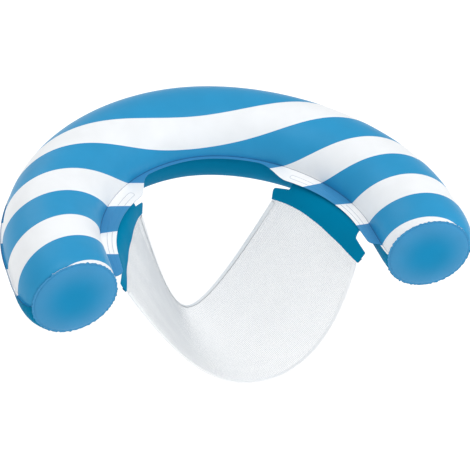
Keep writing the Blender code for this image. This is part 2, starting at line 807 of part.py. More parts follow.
def valve(side, film, finishes):
    word = "right" if side > 0 else "left"
    frame = valve_frame(side)
    depth = film_depth(film, frame)
    ring = [2 * math.pi * k / TURN_STEPS for k in range(TURN_STEPS)]
    plateau = min(depth(VALVE_PLATEAU * math.cos(a), VALVE_PLATEAU * math.sin(a)) for a in ring)
    plateau -= GAP + VALVE_SEAT
    rim_top = plateau + GAP + VALVE_RIM_THICKNESS
    flap_top = rim_top - VALVE_STEM_LENGTH - GAP

    axis = bpy.data.objects.new(f"valve_{word}_axis", None)
    bpy.context.scene.collection.objects.link(axis)
    axis.matrix_world = frame
    pieces = [
        (valve_base(f"valve_base_{word}", depth, plateau, finishes["valve"]), Vector()),
        (valve_stem(f"valve_stem_{word}", rim_top, finishes["valve"]), Vector()),
        (valve_plug(f"valve_plug_{word}", rim_top + GAP, finishes["plug"]), Vector()),
        (plug_tether(f"plug_tether_{word}", rim_top, finishes["plug"]), Vector()),
        (valve_flap(f"valve_flap_{word}", finishes["flap"]), Vector((0.0, FLAP_RADIUS, flap_top))),
    ]
    for item, where in pieces:
        item.parent = axis
        item.location = where

    bpy.ops.mesh.primitive_cylinder_add(vertices=TURN_STEPS, radius=VALVE_HOLE, depth=2 * VALVE_FLANGE)
    hole = bpy.context.active_object
    hole.name = f"valve_hole_{word}"
    hole.matrix_world = frame
    as_cutter(hole)
    combine(film, hole, "DIFFERENCE")


def build():
    clear_scene()
    printed = material("printed_pvc", BLUE, 0.32)
    lower = material("teal_pvc", TEAL, 0.32)
    closing_film = material("end_pvc", BLUE, 0.32)
    wall = material("wall_pvc", CLEAR_WHITE, 0.35)
    band = material("band_pvc", TEAL, 0.34)
    mesh_cloth = material("polyester_net", NET_WHITE, 0.7)
    binding = material("polyester_binding", WHITE, 0.6)
    valve_finishes = {
        "valve": material("valve_pvc", CLEAR_WHITE, 0.3),
        "plug": material("plug_pvc", CLEAR_WHITE, 0.3),
        "flap": material("flap_pvc", CLEAR_WHITE, 0.35),
    }

    top = tube_film("top_panel", 1, printed)
    for side, word in ((-1, "left"), (1, "right")):
        combine(top, weld_loop(f"weld_loop_{word}", side, printed), "UNION")
        end_disc(f"end_disc_{word}", side, closing_film)
        seat_band(f"seat_band_{word}", side, band)
        net_strip(f"net_strip_{word}", side, band)
    bottom = tube_film("bottom_panel", -1, lower)
    bpy.context.view_layer.update()
    for side in (-1, 1):
        valve(side, bottom, valve_finishes)
    chamber_bulkhead(wall)
    seat_net(mesh_cloth)
    net_hem("net_hem_front", True, binding)
    net_hem("net_hem_back", False, binding)


build()
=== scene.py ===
"""Inflatable pool chair, dressed: printed films, crinkled ends, a knitted net, its bands and valves.

The shapes repeat the formulas of the solid model at a finer step. Lengths are in metres.
"""

import math

import bpy
import numpy as np
from mathutils import Matrix, Vector


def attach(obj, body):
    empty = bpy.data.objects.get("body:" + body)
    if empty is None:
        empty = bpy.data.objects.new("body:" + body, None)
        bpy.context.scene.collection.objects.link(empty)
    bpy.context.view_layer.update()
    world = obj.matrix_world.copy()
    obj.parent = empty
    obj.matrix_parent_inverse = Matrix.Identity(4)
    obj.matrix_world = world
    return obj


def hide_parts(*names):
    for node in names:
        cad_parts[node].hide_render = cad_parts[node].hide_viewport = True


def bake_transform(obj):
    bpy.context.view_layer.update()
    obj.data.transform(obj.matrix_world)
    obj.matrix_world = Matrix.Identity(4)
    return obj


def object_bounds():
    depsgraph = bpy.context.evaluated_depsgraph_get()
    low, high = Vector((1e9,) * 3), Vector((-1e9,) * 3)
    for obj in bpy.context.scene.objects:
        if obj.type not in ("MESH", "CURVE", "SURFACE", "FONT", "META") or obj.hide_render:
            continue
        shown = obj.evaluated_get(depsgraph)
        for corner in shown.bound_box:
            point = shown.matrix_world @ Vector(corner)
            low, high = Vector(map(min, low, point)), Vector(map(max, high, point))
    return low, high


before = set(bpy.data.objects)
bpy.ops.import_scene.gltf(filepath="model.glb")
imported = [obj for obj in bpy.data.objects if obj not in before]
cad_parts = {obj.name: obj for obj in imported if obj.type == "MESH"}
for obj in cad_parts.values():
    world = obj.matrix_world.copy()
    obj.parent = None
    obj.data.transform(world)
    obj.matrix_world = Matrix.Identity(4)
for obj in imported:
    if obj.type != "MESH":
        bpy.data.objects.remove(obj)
CAD_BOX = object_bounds()

# Film, net and clearances
FILM = 0.0004
NET_THICKNESS = 0.0006
GAP = 0.0003
FILM_PITCH = FILM + GAP
MID = FILM_PITCH / 2

# Plan of the inner seam
SEAM_HALF_WIDTH = 0.270
SEAM_DEPTH = 0.275
SEAM_ROUNDNESS = 1.9
ARM_LENGTH = 0.113
OVAL_SAMPLES = 4800

# Tube
TUBE_RADIUS_BACK = 0.093
TUBE_RADIUS_ARM = 0.0915
END_RADIUS = 0.0816
END_CLOSING = 0.060
END_TURN = 0.075
END_TOE_IN_SHARE = 0.128
END_TILT_SHARE = 0.045
DISC_BULGE = 0.008

# Weld flanges and tabs
LIP = 0.0045
LIP_SHARES = np.array([[0.5, 1.0]])
RIM_SHARES = np.array([1 / 3, 2 / 3, 1.0])
RIM_SPREAD_SHARE = 0.1
LOWER_LIP_SHOWS_SHARE = 0.30
BACK_FLANGE = 0.009
TAB_BACK_WIDTH = 0.044
TAB_FRONT_WIDTH = 0.024
TAB_START = 0.125
TAB_CORNER = 0.204
TAB_FRONT = 0.054
TAB_FRONT_TAPER = 0.020
WELD_WIDTH_SHARE = 0.29
WELD_MIDDLE_SHARE = 0.58
WELD_BEAD = 0.0012
WELD_HEIGHT = 0.0004
WELD_SINK = 0.0001
WELD_END_MARGIN = 0.008

# Puckers beside the welds and the crinkled rim of the ends: heights, wavelengths and reaches
SEAM_PUCKER = 0.0005
SEAM_PUCKER_WAVES = (0.0131, 0.0173, 0.0229)
OUTER_PUCKER = 0.0006
OUTER_PUCKER_WAVES = (0.0163, 0.0212, 0.0279)
END_PUCKER = 0.0005
END_PUCKER_WAVES = (0.0093, 0.0127, 0.0171)
END_PUCKER_CLEAR = 0.010
DISC_PUCKER = 0.0004
DISC_PUCKERS_ROUND = (41, 29)
PUCKER_START = 0.003
PUCKER_FADE = 0.011
END_PUCKER_FADE = 0.013
DISC_PUCKER_FADE = 0.007
RIM_CRINKLE = 0.0012
RIM_CRINKLES_OUT = (38, 53, 67)
RIM_CRINKLES_ALONG = (31, 44, 59)

# Seat bands
BAND_START = 0.172
BAND_FRONT = 0.052
BAND_WELD = 0.018
BAND_REACH = 0.020
BAND_DROP = 0.0565
BAND_BACK_DROP = 0.009
BAND_IN = 0.0368
BAND_BACK_IN = 0.033
BAND_BOW = 0.0245
BAND_FALL = 0.028
BAND_FALL_OUT = 0.010
BAND_ARCH = 0.009
BAND_ARCH_SHARE = 0.66
BAND_EDGE = 0.0015
STRIP_WIDTH = 0.013
TAIL = 0.040
TAIL_RUN = 0.014
TAIL_TOP = 0.031
TAIL_ROOT = 0.035
TAIL_CORNER = 0.007
TAIL_CORNER_TOP = 0.022
TAIL_FALL_OUT = 0.003
TAIL_FALL_RUN = 0.120
NOSE = 0.032
NOSE_RUN = 0.006
NOSE_TOP = 0.0275
NOSE_ROOT = 0.0395
NOSE_FLARE = 0.016
NOSE_FLARE_RUN = 0.062
BAND_WAVE = 0.0009
BAND_WAVES = (0.071, 0.109, 0.153)
BAND_WAVE_TOP = 0.050
BAND_WAVE_RUN = 0.045
BAND_CRINKLE = 0.00025
BAND_CRINKLES = (0.0067, 0.0093, 0.0121)
BAND_CRINKLE_HEIGHT = 0.008
BAND_CRINKLE_REACH = 0.006
BAND_EDGE_WAVE = 0.0004
BAND_EDGE_WAVES = (0.0081, 0.0117)

# Net
NET_FRONT = (-0.1839, 0.2088, 0.1083)
NET_FRONT_HANDLE = (0.058, 0.0951, 0.0646)
NET_BACK = (0.2439, 0.3743, 0.0369)
NET_BACK_HANDLE = (0.0556, -0.0285, 0.1756)
NET_BELLY = 0.016
NET_MARGIN = 0.011
NET_INSET = 0.003
NET_EASE = 0.0003
NET_PULL = 4
NET_BEHIND = FILM / 2 + GAP + NET_EASE + NET_THICKNESS / 2
STRIP_BEHIND = NET_BEHIND + NET_THICKNESS / 2 + NET_EASE + GAP + FILM / 2
NET_PITCH = 0.0028
THREAD_HALF = (0.00045, 0.00025)
THREAD_STEP = 0.010
THREAD_CROSSING = 0.0001
FOLD_DEPTH = 0.0020
FOLD_PLACE = 0.90
FOLD_SHARE = 0.035
FOLD_START = 0.035
FOLD_FADE = 0.085
HEM_WIDTH = 0.008
HEM_WALL = 0.0004
HEM_WAVE = 0.0003
HEM_WAVES = (0.017, 0.029)
HEM_FOLD_STEPS = 7
HEM_INSIDE_SHARE = 0.2
HEM_ROW_SHARE = 0.02

# Valves
VALVE_SEAM_DISTANCE = 0.205
VALVE_TURN = math.radians(218)
VALVE_BORE = 0.0044
VALVE_STEM = 0.0080
VALVE_STEM_LENGTH = 0.018
VALVE_HOLE = 0.0135
VALVE_HOLE_REACH = 0.02
VALVE_RIM = 0.0112
VALVE_RIM_THICKNESS = 0.0012
VALVE_CORNER = 0.0003
PLUG_CAP = 0.0076
PLUG_CAP_THICKNESS = 0.0022
PLUG_CAP_CHAMFER = 0.0009
PLUG_LENGTH = 0.0085
PLUG_RIDGE = 0.0008
PLUG_CORNER = 0.00012
PLUG_AXIS = 0.00001
PLUG_TIP_SHARE = 0.8
PLUG_TAPER = 0.0013
PLUG_GROOVE = 0.0003
PLUG_GROOVE_TOP = 0.0058
PLUG_GROOVE_FLOOR = (0.0040, 0.0052)
PLUG_LAND_TOP = 0.0034
TETHER_WIDTH = 0.0045
TETHER_THICKNESS = 0.0009
TETHER_CORNER = 0.0002

# Seeds of the uneven waves
SEAM_SEED = 3
OUTER_SEED = 5
END_SEED = 8
RIM_SEEDS = {1: (11, 31), -1: (12, 32)}
DISC_SEED = 31
BAND_SEED = 41
BAND_CRINKLE_SEED = 42
BAND_EDGE_SEED = 43
HEM_SEED = 61

# Steps of the surfaces
FLAT_STEPS = 8
ROUND_STEPS = 64
LENGTH_ROWS = 130
TAPER_ROWS = 11
CLOSING_ROWS = 26
DISC_STEPS = 256
WELD_ROWS = 90
WELD_END_STEPS = 18
WELD_SECTION_STEPS = 7
BAND_ROWS = 300
BAND_COLUMNS = 36
STRIP_ROWS = 150
STRIP_COLUMNS = 8
SECTION_STEPS = 90
NET_ROWS = 60
NET_COLUMNS = 90
NET_EDGE_STEPS = 120
NET_MARGIN_COLUMNS = 4
HEM_COLUMNS = 260
CORNER_STEPS = 5
TURNED_STEPS = 72
STRAP_STEPS = 8
STRAP_BEND_STEPS = 18
HOLE_STEPS = 64
SHARP_ANGLE = math.radians(40)

# Stripe edges in the flat film: y = a + b t + c t^2 + d t^3 on the tube and a + b t on the tabs.
# At the back t is x, and on the arms it is |x| less the seam's half width.
BACK_EDGES = ((0.3622, 0.0048, -0.2508, 0.1886), (0.2950, 0.0164, -0.2492, -0.0382))
LEFT_EDGES = (
    (0.1984, -0.1672, -0.3347, 1.4738), (0.1331, -0.2220, -0.3280, 1.6816),
    (0.0589, -0.2842, -0.2792, 1.4617), (-0.0030, -0.5046, 1.8169, -3.5626),
    (-0.0898, -0.2676, 1.7012, -6.4713),
)
RIGHT_EDGES = (
    (0.2043, -0.1312, -0.4917, -0.4285), (0.1379, -0.1701, -0.2724, -0.1282),
    (0.0647, -0.2109, -0.3002, -0.0042), (-0.0013, -0.4281, 1.6668, -3.9151),
    (-0.0784, -0.2780, 1.1272, -3.9911),
)
STRIPE_START = -0.140
LEFT_TABS = ((0.2290, 0.1728), (0.1505, 0.1561), (0.0618, -0.0349), (-0.0004, 0.1912), (-0.09, 0.0))
RIGHT_TABS = ((0.2247, 0.1066), (0.1493, 0.1298), (0.0661, -0.0442), (-0.0025, 0.0402), (-0.08, 0.0))

# Print and creases: half the print's soft edge, where the painted shade line in a crease fades, how far out
# the welds' lighter tint reaches, and how far from a crease the weld line counts as being, so how much
# painted shade it gets, on white and on blue
PRINT_EDGE = 0.0003
CREASE_SHADE_FADE = {"From Min": 0.0003, "From Max": 0.0011}
WELD_TINT_REACH = 0.0005
WELD_SHADE_DISTANCE = 0.0006
NO_SHADE_DISTANCE = 0.01

# Sizes and depths of the finishes' patterns. The binding's ribs are drawn about twice as coarse as real
# ones, or they wouldn't show.
CLOUD_SIZE = 0.060
CLOUDS = {"From Min": 0.3, "From Max": 0.7}
SAG_SIZE = 0.035
GRAIN_SIZE = 0.0007
GRAIN_DEPTH = 0.00002
YARN_CLOUD_SIZE = 0.050
YARN_CLOUDS = {"From Min": 0.35, "From Max": 0.65}
FIBRE_SIZE = 0.0004
FIBRE_DEPTH = 0.00005
RIB_PITCH = 0.0017765
RIB_DEPTH = 0.00012
MILK_SIZE = 0.010
MOULD_SIZE = 0.0009
MOULD_DEPTH = 0.00002
PULP_SIZE = 0.004

# Node sockets and settings: a colour Mix's share, its two colours and its result, a smooth Map Range,
# and the radians that a Wave turns in one unit
SHARE, FIRST, SECOND, MIXED = 0, 6, 7, 2
BLEND = {"data_type": "RGBA"}
TIMES = {"data_type": "RGBA", "blend_type": "MULTIPLY"}
SOFT = {"interpolation_type": "SMOOTHSTEP"}
WAVE_RADIANS = 20.0
WHITE = (1.0, 1.0, 1.0, 1.0)

# View, fitted to the photograph: angles, distance, lens and shift
VIEW_AZIMUTH = math.radians(-22.3627)
VIEW_ELEVATION = math.radians(37.4321)
VIEW_ROLL = math.radians(7.3206)
VIEW_DISTANCE = 3.1314
FOCAL_PIXELS = 1623.737
FRAME_PIXELS = 470
SENSOR_WIDTH = 36.0
VIEW_SHIFT = (-0.00966, 0.00666)

# Studio
SURROUND_STRENGTH = 0.46
FLOOR_GLOW = 0.88
FLOOR_HALF = 20.0
FLOOR_BELOW = 0.012


# Formulas of the solid model

def smooth_step(value):
    """3 t^2 - 2 t^3 of the value kept between 0 and 1: a soft rise."""
    t = np.clip(value, 0.0, 1.0)
    return t * t * (3.0 - 2.0 * t)


def quarter_ellipse(value):
    """1 - sqrt(1 - t^2) of the value kept between 0 and 1: level at first, steep at last."""
    t = np.clip(value, 0.0, 1.0)
    return 1.0 - np.sqrt(1.0 - t * t)


def seam_table():
    """The right half of the inner seam: x = W sin^(2/n), y = D cos^(2/n), then a straight arm."""
    angle = np.linspace(0.0, math.pi / 2, OVAL_SAMPLES)
    power = 2.0 / SEAM_ROUNDNESS
    x = np.append(SEAM_HALF_WIDTH * np.sin(angle) ** power, [SEAM_HALF_WIDTH] * 2)
    y = np.append(SEAM_DEPTH * np.cos(angle).clip(0.0) ** power, [-ARM_LENGTH, -2 * ARM_LENGTH])
    return np.concatenate([[0.0], np.cumsum(np.hypot(np.diff(x), np.diff(y)))]), x, y


SEAM_ALONG, SEAM_X, SEAM_Y = seam_table()
SEAM_END = SEAM_ALONG[-2]
OVAL_END = SEAM_END - ARM_LENGTH
BAND_SPAN = OVAL_END + BAND_FRONT - BAND_START


def seam(along):
    """Plan point and unit normal of the seam at signed distances from the middle of the back.

    The normal is the step from just before a point to just after it, turned by a right angle.
    """
    a = np.abs(along)
    side = np.where(along < 0, -1.0, 1.0)
    step = SEAM_END / OVAL_SAMPLES

    def plan(distance):
        where = np.abs(distance)
        return (np.sign(distance) * np.interp(where, SEAM_ALONG, SEAM_X),
                np.interp(where, SEAM_ALONG, SEAM_Y))

    x, y = plan(a)
    low, high = plan(a - step), plan(a + step)
    run_x = np.where(a >= OVAL_END, 0.0, high[0] - low[0])
    run_y = high[1] - low[1]
    length = np.hypot(run_x, run_y)
    return side * x, y, -side * run_y / length, run_x / length


def closing(a):
    """How far the tube has closed on its round end: a quarter ellipse over its last stretch."""
    return quarter_ellipse((a - (SEAM_END - END_CLOSING)) / END_CLOSING)


def tube_radius(a):
    """From the back's radius to the arm's by a soft step, and to the end's by the closing."""
    radius = TUBE_RADIUS_BACK + (TUBE_RADIUS_ARM - TUBE_RADIUS_BACK) * smooth_step(a / SEAM_END)
    return radius + (END_RADIUS - LIP - radius) * closing(a)


def flange_width(a):
    """From the back's flange to the tab by a soft step; the tab narrows evenly, then by an ellipse."""
    share = np.clip((a - TAB_CORNER) / (OVAL_END + TAB_FRONT - TAB_CORNER), 0.0, 1.0)
    tab = TAB_BACK_WIDTH + (TAB_FRONT_WIDTH - TAB_BACK_WIDTH) * share
    width = BACK_FLANGE + (tab - BACK_FLANGE) * smooth_step((a - TAB_START) / (TAB_CORNER - TAB_START))
    return width + (LIP - width) * quarter_ellipse((a - OVAL_END - TAB_FRONT) / TAB_FRONT_TAPER)


def place(along, out, z):
    """World points at signed distances along the seam, distances out from it and heights.

    Seam point + normal times out; towards the end, y falls by shares of out and z, so the end turns.
    """
    a = np.abs(along)
    x, y, normal_x, normal_y = seam(along)
    centre = tube_radius(a) + LIP * closing(a)
    turn = smooth_step((a - (SEAM_END - END_TURN)) / END_TURN)
    lean = END_TOE_IN_SHARE * (out - centre) + END_TILT_SHARE * z
    parts = np.broadcast_arrays(x + normal_x * out, y + normal_y * out - turn * lean, z)
    return np.stack(parts, axis=-1)


# Meshes

def shares(count):
    """Even shares from 0 to 1."""
    return np.linspace(0.0, 1.0, count)


def unit(vectors):
    """Vectors over their own lengths."""
    return vectors / np.maximum(np.linalg.norm(vectors, axis=-1, keepdims=True), 1e-12)


def grid_normals(grid, wrap=False):
    """Unit normals of a grid of points, from its differences along the rows and the columns."""
    rows = np.gradient(grid, axis=0)
    if wrap:
        columns = np.roll(grid, -1, axis=1) - np.roll(grid, 1, axis=1)
    else:
        columns = np.gradient(grid, axis=1)
    return unit(np.cross(rows, columns))


def grid_quads(rows, columns, wrap=False):
    """Quads between neighbouring rows and columns; a wrapped grid's columns close on themselves."""
    i = np.arange(rows - 1)[:, None] * columns
    j = np.arange(columns if wrap else columns - 1)[None, :]
    n = (j + 1) % columns
    return np.stack([i + j, i + n, i + n + columns, i + j + columns], axis=-1).reshape(-1, 4)


def tube_faces(rows, ring):
    """Faces of rings of points in a row, with a cap on the first and the last ring."""
    caps = [list(range(ring))[::-1], list(range((rows - 1) * ring, rows * ring))]
    return grid_quads(rows, ring, wrap=True).tolist() + caps


def loop_faces(rows, ring):
    """Faces of rings of points whose last ring joins the first."""
    last = (rows - 1) * ring + np.arange(ring)
    near = np.arange(ring)
    joined = np.stack([last, np.roll(last, -1), np.roll(near, -1), near], axis=-1)
    return np.concatenate([grid_quads(rows, ring, wrap=True), joined]).tolist()


def strip_quads(loop, shift):
    """Quads from a closed loop of indices to the same loop shifted."""
    after = np.roll(loop, -1)
    return np.stack([loop, after, after + shift, loop + shift], axis=-1)


def shell(middle, thickness, wrap=False):
    """Closed wall round a middle surface p: p + n t/2 and p - n t/2, joined at the rim.

    A wrapped grid is a disc: its columns close on themselves and its last row is capped.
    """
    rows, columns = middle.shape[:2]
    offset = grid_normals(middle, wrap) * thickness / 2
    points = np.concatenate([(middle + offset).reshape(-1, 3), (middle - offset).reshape(-1, 3)])
    count = rows * columns
    near = grid_quads(rows, columns, wrap)
    index = np.arange(count).reshape(rows, columns)
    caps = []
    if wrap:
        loop = index[0]
        caps = [index[-1][::-1].tolist(), (index[-1] + count).tolist()]
    else:
        loop = np.concatenate([index[0, :-1], index[:-1, -1], index[-1, :0:-1], index[:0:-1, 0]])
    faces = np.concatenate([near[:, ::-1], near + count, strip_quads(loop, count)]).tolist()
    return points, faces + caps


def sweep(path, normals, section, closed=False):
    """Tube along a path: p + s a + n b for each (a, b) of the section, s = tangent x normal."""
    if closed:
        tangent = unit(np.roll(path, -1, axis=0) - np.roll(path, 1, axis=0))
    else:
        tangent = unit(np.gradient(path, axis=0))
    aside = unit(np.cross(tangent, normals))
    section = np.asarray(section, dtype=float)
    if section.ndim == 2:
        section = np.broadcast_to(section, (len(path), *section.shape))
    points = path[:, None] + aside[:, None] * section[..., :1] + normals[:, None] * section[..., 1:]
    rows, ring = points.shape[:2]
    faces = loop_faces if closed else tube_faces
    return points.reshape(-1, 3), faces(rows, ring)


def volume(points, faces):
    """Six times the signed volume: the sum of a . (b x c) over the quads' triangles."""
    quads = np.array([f for f in faces if len(f) == 4])
    a, b, c, d = (points[quads[:, k]] for k in range(4))
    return np.einsum("ij,ij->", a, np.cross(b, c)) + np.einsum("ij,ij->", a, np.cross(c, d))


def add_piece(name, points, faces, finish, body, stands_for=(), uv=None, values=None):
    """A mesh object on a body, facing outwards, with its material, its own UV and point values."""
    if volume(points, faces) < 0:
        faces = [f[::-1] for f in faces]
    mesh = bpy.data.meshes.new(name)
    mesh.from_pydata(points.tolist(), [], faces)
    mesh.update()
    loops = np.empty(len(mesh.loops), dtype=np.int32)
    mesh.loops.foreach_get("vertex_index", loops)
    if uv is not None:
        layer = mesh.uv_layers.new(name="flat")
        layer.data.foreach_set("uv", uv[loops].astype(np.float32).ravel())
    for key, value in (values or {}).items():
        mesh.attributes.new(key, "FLOAT", "POINT").data.foreach_set("value", value.astype(np.float32).ravel())
    mesh.materials.append(finish)
    mesh.shade_smooth()
    mesh.set_sharp_from_angle(angle=SHARP_ANGLE)
    item = bpy.data.objects.new(name, mesh)
    bpy.context.scene.collection.objects.link(item)
    if body:
        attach(item, body)
    if stands_for:
        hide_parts(*stands_for)
    return item


def twice(values):
    """The values of a grid for both faces of its shell."""
    return np.concatenate([values.reshape(-1, *values.shape[2:])] * 2)


def waves(position, lengths, seed):
    """Smooth uneven ripple between -1 and 1: a mean of sines with the given wavelengths."""
    phases = np.random.default_rng(seed).uniform(0.0, 2 * math.pi, len(lengths))
    parts = [np.sin(2 * math.pi * position / length + p) for length, p in zip(lengths, phases)]
    return sum(parts) / len(parts)


def beside_weld(distance, fade):
    """Share of the puckers at a distance from a weld: e^(-d/fade) (1 - e^(-d/start)), none on the weld."""
    return np.exp(-distance / fade) * (1.0 - np.exp(-distance / PUCKER_START))


# Materials

def linear(code):
    """Linear colour of an sRGB hex code."""
    parts = [int(code[k:k + 2], 16) / 255 for k in (0, 2, 4)]
    return tuple(c / 12.92 if c <= 0.04045 else ((c + 0.055) / 1.055) ** 2.4 for c in parts) + (1.0,)


def add(tree, kind, result, inputs=None, **settings):
    """Adds a node with its settings, fed by values or by other sockets, and gives one of its outputs."""
    item = tree.nodes.new(kind)
    for key, value in settings.items():
        setattr(item, key, value)
    for key, value in (inputs or {}).items():
        if isinstance(value, bpy.types.NodeSocket):
            tree.links.new(value, item.inputs[key])
        else:
            item.inputs[key].default_value = value
    return item.outputs[result]


def start_material(name, **values):
    """A material whose shader has these values on its own sockets."""
    finish = bpy.data.materials.new(name)
    finish.use_nodes = True
    tree = finish.node_tree
    for key, value in values.items():
        tree.nodes["Principled BSDF"].inputs[key.replace("_", " ")].default_value = value
    return finish, tree


def lay_on(tree, colour, normal=None):
    """Feeds the shader its colour, and its normal if the surface has one of its own."""
    shader = tree.nodes["Principled BSDF"]
    tree.links.new(colour, shader.inputs["Base Color"])
    if normal:
        tree.links.new(normal, shader.inputs["Normal"])


def vinyl(name, base, roughness=0.45, gloss=0.24, sheen=0.10, sag=0.0006):
    """Calendered soft PVC film, whose colour is what base(tree) gives.

    The eye gets a satin skin with broad, dull highlights: a fine grain softens them, a slow sag bends
    them, and faint clouds keep the colour from being flat.
    """
    finish, tree = start_material(name, Roughness=roughness, IOR=1.53, Specular_IOR_Level=gloss,
                                  Sheen_Weight=sheen, Sheen_Roughness=0.3)
    where = add(tree, "ShaderNodeTexCoord", "Object")
    clouds = add(tree, "ShaderNodeTexNoise", "Fac", {"Vector": where, "Scale": 1.0 / CLOUD_SIZE})
    clouds = add(tree, "ShaderNodeMapRange", "Result", {"Value": clouds, **CLOUDS}, **SOFT)
    shade = add(tree, "ShaderNodeMix", MIXED,
                {SHARE: clouds, FIRST: linear("FAFAFA"), SECOND: linear("FFFFFF")}, **BLEND)
    colour = add(tree, "ShaderNodeMix", MIXED, {SHARE: 1.0, FIRST: base(tree), SECOND: shade}, **TIMES)
    slow = add(tree, "ShaderNodeTexNoise", "Fac", {"Vector": where, "Scale": 1.0 / SAG_SIZE, "Detail": 1.0})
    grain = add(tree, "ShaderNodeTexNoise", "Fac",
                {"Vector": where, "Scale": 1.0 / GRAIN_SIZE, "Roughness": 0.6})
    slow = add(tree, "ShaderNodeBump", "Normal", {"Height": slow, "Distance": sag})
    fine = add(tree, "ShaderNodeBump", "Normal", {"Height": grain, "Distance": GRAIN_DEPTH, "Normal": slow})
    lay_on(tree, colour, fine)
    return finish


def printed_colour(tree):
    """Blue and white bands by the signed distance to the nearest stripe edge.

    The eye gets a crisp print, a little lighter on the welds, and painted shade: a thin grey line in each
    crease, grey over the outer lip, and a fainter line on the weld line where it crosses white.
    """
    edge, weld, across = (add(tree, "ShaderNodeAttribute", "Fac", attribute_name=name)
                          for name in ("stripe", "weld", "across"))
    white = add(tree, "ShaderNodeMapRange", "Result",
                {"Value": edge, "From Min": -PRINT_EDGE, "From Max": PRINT_EDGE}, **SOFT)
    blue = add(tree, "ShaderNodeMix", MIXED,
               {SHARE: weld, FIRST: linear("2796CA"), SECOND: linear("3F90C4")}, **BLEND)
    pale = add(tree, "ShaderNodeMix", MIXED,
               {SHARE: weld, FIRST: linear("F5F8FB"), SECOND: linear("FCFDFE")}, **BLEND)
    colour = add(tree, "ShaderNodeMix", MIXED, {SHARE: white, FIRST: blue, SECOND: pale}, **BLEND)
    # Painted shade: grey A9B4C4 is multiplied in where the across value is near 0, as a dark line in the
    # creases, over the outer lip and, fainter, along the weld line on white.
    crease = add(tree, "ShaderNodeMath", "Value", {0: across}, operation="ABSOLUTE")
    unshaded_share = add(tree, "ShaderNodeMapRange", "Result", {"Value": crease, **CREASE_SHADE_FADE}, **SOFT)
    painted_crease_shade = add(tree, "ShaderNodeMix", MIXED,
                 {SHARE: 1.0, FIRST: colour, SECOND: linear("A9B4C4")}, **TIMES)
    return add(tree, "ShaderNodeMix", MIXED, {SHARE: unshaded_share, FIRST: painted_crease_shade, SECOND: colour}, **BLEND)


def end_colour(tree):
    """The eye gets a deep blue in the middle of the end, which pales softly towards its rim: a painted
    reflection of the white surroundings where the bulging film turns edge-on.
    """
    rim = add(tree, "ShaderNodeAttribute", "Fac", attribute_name="rim")
    # Painted reflection: the paler rim colour 4497C9 stands in for the white surroundings mirrored at the
    # end's edge.
    return add(tree, "ShaderNodeMix", MIXED,
               {SHARE: rim, FIRST: linear("008DC1"), SECOND: linear("4497C9")}, **BLEND)


def plain(code):
    """One colour all over."""
    return lambda tree: linear(code)


def yarn_finish():
    """Knitted polyester yarn.

    The eye gets pale matt threads with a fibrous grain; light passes through them, so the open net reads
    as one light veil.
    """
    finish, tree = start_material(
        "knitted_polyester_yarn", Roughness=0.62, IOR=1.55, Sheen_Weight=0.3, Sheen_Roughness=0.5,
        Subsurface_Weight=0.7, Subsurface_Scale=0.003, Subsurface_Radius=(1.0, 1.0, 1.0),
    )
    where = add(tree, "ShaderNodeTexCoord", "Object")
    clouds = add(tree, "ShaderNodeTexNoise", "Fac", {"Vector": where, "Scale": 1.0 / YARN_CLOUD_SIZE})
    clouds = add(tree, "ShaderNodeMapRange", "Result", {"Value": clouds, **YARN_CLOUDS}, **SOFT)
    tint = add(tree, "ShaderNodeMix", MIXED,
               {SHARE: clouds, FIRST: linear("D4D8DC"), SECOND: linear("D9DDE0")}, **BLEND)
    fibres = add(tree, "ShaderNodeTexNoise", "Fac",
                 {"Vector": where, "Scale": 1.0 / FIBRE_SIZE, "Detail": 3.0})
    lay_on(tree, tint, add(tree, "ShaderNodeBump", "Normal", {"Height": fibres, "Distance": FIBRE_DEPTH}))
    return finish


def binding_finish():
    """Woven polyester binding: ribs both ways, multiplied. The eye gets a bright, matt white edge."""
    finish, tree = start_material("woven_polyester_binding", Roughness=0.6, IOR=1.55, Sheen_Weight=0.4,
                                  Sheen_Roughness=0.5)
    where = add(tree, "ShaderNodeTexCoord", "UV")
    scale = 2 * math.pi / (WAVE_RADIANS * RIB_PITCH)
    ribs = [add(tree, "ShaderNodeTexWave", "Fac", {"Vector": where, "Scale": scale}, bands_direction=axis)
            for axis in ("X", "Y")]
    weave = add(tree, "ShaderNodeMath", "Value", {0: ribs[0], 1: ribs[1]}, operation="MULTIPLY")
    tint = add(tree, "ShaderNodeMix", MIXED,
               {SHARE: weave, FIRST: linear("F9FBFC"), SECOND: linear("FFFFFF")}, **BLEND)
    lay_on(tree, tint, add(tree, "ShaderNodeBump", "Normal", {"Height": weave, "Distance": RIB_DEPTH}))
    return finish


def clear_vinyl(name, code, transmission):
    """Soft PVC without pigment, moulded or rolled to a film.

    The eye gets milky, half-clear pieces with a wet gloss and faint clouding.
    """
    finish, tree = start_material(
        name, Roughness=0.28, IOR=1.53, Transmission_Weight=transmission, Subsurface_Weight=0.15,
        Subsurface_Scale=0.004, Subsurface_Radius=(1.0, 1.0, 1.0),
    )
    where = add(tree, "ShaderNodeTexCoord", "Object")
    milk = add(tree, "ShaderNodeTexNoise", "Fac", {"Vector": where, "Scale": 1.0 / MILK_SIZE})
    milk = add(tree, "ShaderNodeMapRange", "Result", {"Value": milk, **CLOUDS}, **SOFT)
    tint = add(tree, "ShaderNodeMix", MIXED,
               {SHARE: milk, FIRST: linear(code), SECOND: linear("F4F7FA")}, **BLEND)
    grain = add(tree, "ShaderNodeTexNoise", "Fac", {"Vector": where, "Scale": 1.0 / MOULD_SIZE})
    lay_on(tree, tint, add(tree, "ShaderNodeBump", "Normal", {"Height": grain, "Distance": MOULD_DEPTH}))
    return finish


